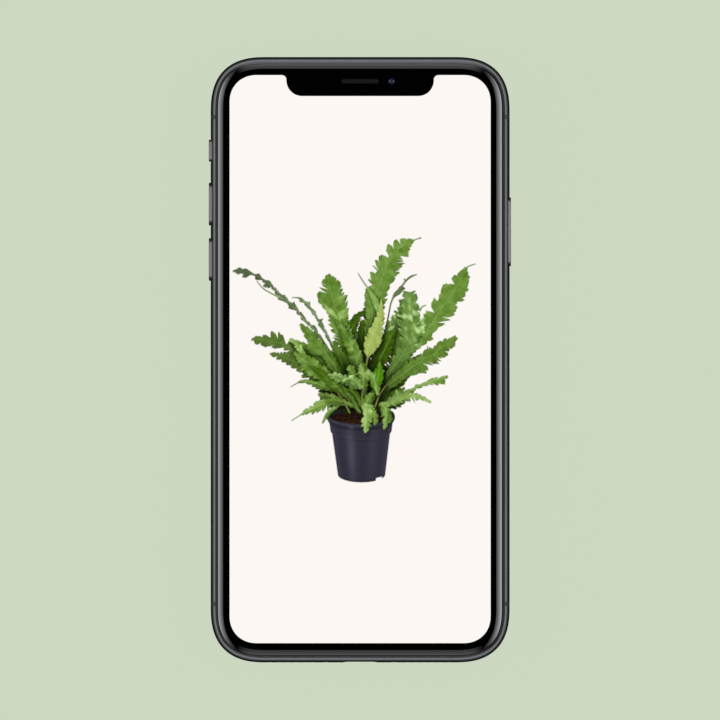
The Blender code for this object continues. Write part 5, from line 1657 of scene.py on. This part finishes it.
def paint_pot_wall(canvas, rng):
    """The wall, from under the rim down to the foot, bulging to the viewer."""
    down = np.linspace(0, 1, 420)[:, None]
    turn = np.linspace(-np.pi / 2, np.pi / 2, 900)[None, :]
    radius = WALL_RADIUS + (FOOT_RADIUS - WALL_RADIUS) * down
    radius = radius + BAND_SWELL * smooth(0.235, 0.19, down)
    middle_y = (RIM_Y - WALL_TOP) + (FOOT_Y - RIM_Y + WALL_TOP) * down
    squash = RIM_SQUASH + (FOOT_SQUASH - RIM_SQUASH) * down
    side = np.sin(turn)
    x = radius * side + FOOT_SHIFT * down
    y = middle_y - radius * np.cos(turn) * squash
    glow = 25 * bell(side, -0.36, 0.16) + 9 * bell(side, 0.42, 0.18)
    glow = glow * (0.55 + 0.45 * np.sin(np.pi * np.clip(1.15 * down, 0, 1)))
    dark = 10 * smooth(0.70, 0.98, np.abs(side)) - 12 * smooth(0.93, 1.0, np.abs(side))
    groove = -7 * bell(down, 0.22, 0.014) + 4 * bell(down, 0.19, 0.014)
    level = glow + dark + groove - 10 * smooth(0.93, 1.0, down)
    colour = POT_COLOUR + level[..., None] * POT_TINT
    colour = colour + rng.normal(0, 1.2, level.shape)[..., None]
    off = x - FOOT_NOTCH_X
    keep = (np.abs(off) >= 3.0) | (y >= FOOT_NOTCH_Y + 0.25 * off)
    canvas.put(x, y, WALL_DEPTH + 0.02 * np.cos(turn), colour, keep=keep)


def paint_pot_rim(canvas):
    """A rolled lip all round, in front of the soil and behind the leaves at the back."""
    turn = np.linspace(0, 2 * np.pi, 2600)[:, None]
    roll = np.linspace(0, 1, 60)[None, :]
    radius = RIM_RADIUS - RIM_ROLL * (1 - np.sin(np.pi * (0.15 + 0.85 * roll)))
    y = RIM_Y + radius * np.sin(turn) * RIM_SQUASH - (roll - 0.2) * RIM_LIP
    front = -np.sin(turn)
    light = 46 + 26 * bell(roll, 0.25, 0.12) * (0.5 + 0.5 * np.cos(turn + 2.2))
    light = light + 22 * bell(np.cos(turn), -0.30, 0.09) * (front > 0) * (roll > 0.3)
    light = light - 14 * smooth(0.75, 1.0, roll)
    depth = np.where(front > -0.15, RIM_FRONT_DEPTH, RIM_BACK_DEPTH)
    canvas.put(radius * np.cos(turn), y, depth, light[..., None] * RIM_TINT)


def paint_soil(canvas, rng):
    """The soil, and the dark inner wall round it."""
    radius = np.linspace(0, 1, 260)[None, :] * (RIM_RADIUS - SOIL_INSET)
    turn = np.linspace(0, 2 * np.pi, 1500)[:, None]
    x = radius * np.cos(turn)
    y = RIM_Y - SOIL_DROP + radius * np.sin(turn) * RIM_SQUASH
    grain = rng.normal(0, 1, x.shape)
    lumps = patches(x, y, 3.2, rng) + 0.8 * patches(x, y, 1.5, rng)
    colour = SOIL_COLOUR + (8 * grain + 20 * lumps)[..., None] * SOIL_TINT
    shade = 0.75 + 0.45 * smooth(0.1, -0.7, np.sin(turn) * radius / RIM_RADIUS)
    inner = (radius / RIM_RADIUS > 0.90)[..., None]
    canvas.put(x, y, SOIL_DEPTH, np.where(inner, INNER_COLOUR, colour * shade[..., None]))


def blurred(field, radius):
    """Box blur, twice, by running sums."""
    span = 2 * radius + 1
    for axis in (0, 1, 0, 1):
        margins = [(radius + 1, radius) if a == axis else (0, 0) for a in (0, 1)]
        total = np.cumsum(np.pad(field, margins, mode="edge"), axis=axis)
        ahead = np.take(total, np.arange(span, total.shape[axis]), axis=axis)
        behind = np.take(total, np.arange(0, total.shape[axis] - span), axis=axis)
        field = (ahead - behind) / span
    return field


BACKDROP_DEPTH = -16.0
SHADOW_STEPS = (3, 6, 9, 13, 18, 24, 31, 40)
CORE_X, CORE_Y, CORE_HALF_WIDTH, CORE_HALF_HEIGHT = 4, 96, 34, 26


def shade_depths(canvas):
    """Darkens what lies deep between leaves, and what nearer leaves shade."""
    shape = canvas.rows, canvas.columns
    depth, leaf = canvas.depth.reshape(shape), canvas.leaf.reshape(shape)
    filled = depth > EMPTY / 10
    level = np.where(filled, depth, BACKDROP_DEPTH)
    shade = np.ones_like(level)
    for reach in (6, 18, 48):
        shade *= np.exp(-0.058 * np.clip(blurred(level, reach) - level, 0, 12))
    cast = np.zeros_like(level)
    flat = np.linalg.norm(LIGHT[:2])
    for step in SHADOW_STEPS:
        dx, dy = (int(round(way * step)) for way in LIGHT[:2] / flat)
        moved = np.roll(np.roll(level, -dy, axis=0), -dx, axis=1)
        over = moved - level - LIGHT[2] / flat * step * SAMPLE * 0.55 - 0.8
        cast = np.maximum(cast, np.clip(over / 3, 0, 1) * (1 - step / 55))
    shade *= 1 - 0.42 * blurred(cast, 2)
    rows, columns = np.mgrid[0:canvas.rows, 0:canvas.columns]
    x = (PICTURE_LOW[0] + (columns + 0.5) * SAMPLE - CORE_X) / CORE_HALF_WIDTH
    y = (PICTURE_LOW[1] + (rows + 0.5) * SAMPLE - CORE_Y) / CORE_HALF_HEIGHT
    shade *= 1 - 0.35 * np.exp(-(x**2 + y**2)) * smooth(9, 0, level) * leaf
    factor = 1 + (shade - 1) * np.where(leaf, 1.0, 0.45)
    tint = np.stack([factor ** 1.05, factor ** 0.96, factor ** 1.25], -1)
    colour = canvas.colour.reshape(*shape, 3) * tint
    contrast = (np.clip(colour.mean(-1), 12, None) / 84) ** 0.14
    return colour * np.where(leaf, contrast, 1.0)[..., None], filled


def paint_picture():
    """The picture's samples: colours as display values, and where it differs from the ground."""
    rng = np.random.default_rng(7)
    canvas = Canvas()
    paint_pot_wall(canvas, rng)
    paint_pot_rim(canvas)
    paint_soil(canvas, rng)
    for settings in filler_fronds(rng) + FRONDS:
        paint_frond(canvas, rng, **settings)
    return shade_depths(canvas)


def make_picture():
    """The picture as a sheet of small cells with a colour at each corner, on the screen's glass."""
    colour, filled = paint_picture()
    colour = np.where(filled[..., None], np.clip(colour, 0, 255), np.array(LIT_SCREEN, float))
    rows, columns = colour.shape[0] // FINE, colour.shape[1] // FINE
    blocks = linear(colour).reshape(rows, FINE, columns, FINE, 3).mean((1, 3))
    touched = filled.reshape(rows, FINE, columns, FINE).any((1, 3))
    cell = touched.copy()
    cell[1:] |= touched[:-1]
    cell[:-1] |= touched[1:]
    cell[:, 1:] |= cell[:, :-1].copy()
    cell[:, :-1] |= cell[:, 1:].copy()
    low, high = slice(None, -1), slice(1, None)
    corners = ((low, low), (low, high), (high, high), (high, low))
    quads = np.all([cell[corner] for corner in corners], axis=0)
    used = np.zeros_like(cell)
    for corner in corners:
        used[corner] |= quads
    number = np.full(cell.shape, -1)
    number[used] = np.arange(used.sum())
    faces = np.stack([number[corner][quads] for corner in corners], 1)
    row, column = np.nonzero(used)
    x = (GLASS_X + PICTURE_STEP * (PICTURE_LOW[0] + (column + 0.5) * CELL)) * MM
    y = (GLASS_Y + PICTURE_STEP * (PICTURE_LOW[1] + (row + 0.5) * CELL)) * MM
    points = np.stack([x, y, np.full(len(x), THICKNESS * MM)], 1)
    mesh = bpy.data.meshes.new("fern_picture")
    mesh.from_pydata(points.tolist(), [], faces.tolist())
    layer = mesh.color_attributes.new(name=PICTURE_LAYER, type="FLOAT_COLOR", domain="POINT")
    values = np.ones((len(points), 4), np.float32)
    values[:, :3] = blocks[used]
    layer.data.foreach_set("color", values.ravel())
    uv = mesh.uv_layers.new(name="OFBake")
    flat = points[:, :2] - points[:, :2].min(0)
    places = (flat[faces.ravel()] / flat.max()).astype(np.float32)
    uv.data.foreach_set("uv", places.ravel())
    obj = new_object("fern_picture", mesh)
    mesh.materials.append(MATERIALS["picture"])
    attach(obj, "phone")


def main():
    make_camera()
    make_world()
    make_stage()
    MATERIALS.update(make_materials())
    dress_carried_nodes()
    make_band(make_controls())
    make_breaks()
    make_cover_glass()
    make_screen()
    make_picture()
    make_earpiece_mesh()
    make_front_lens()
    make_back_glass()
    make_camera_window()
    make_port()
    make_screws()


main()
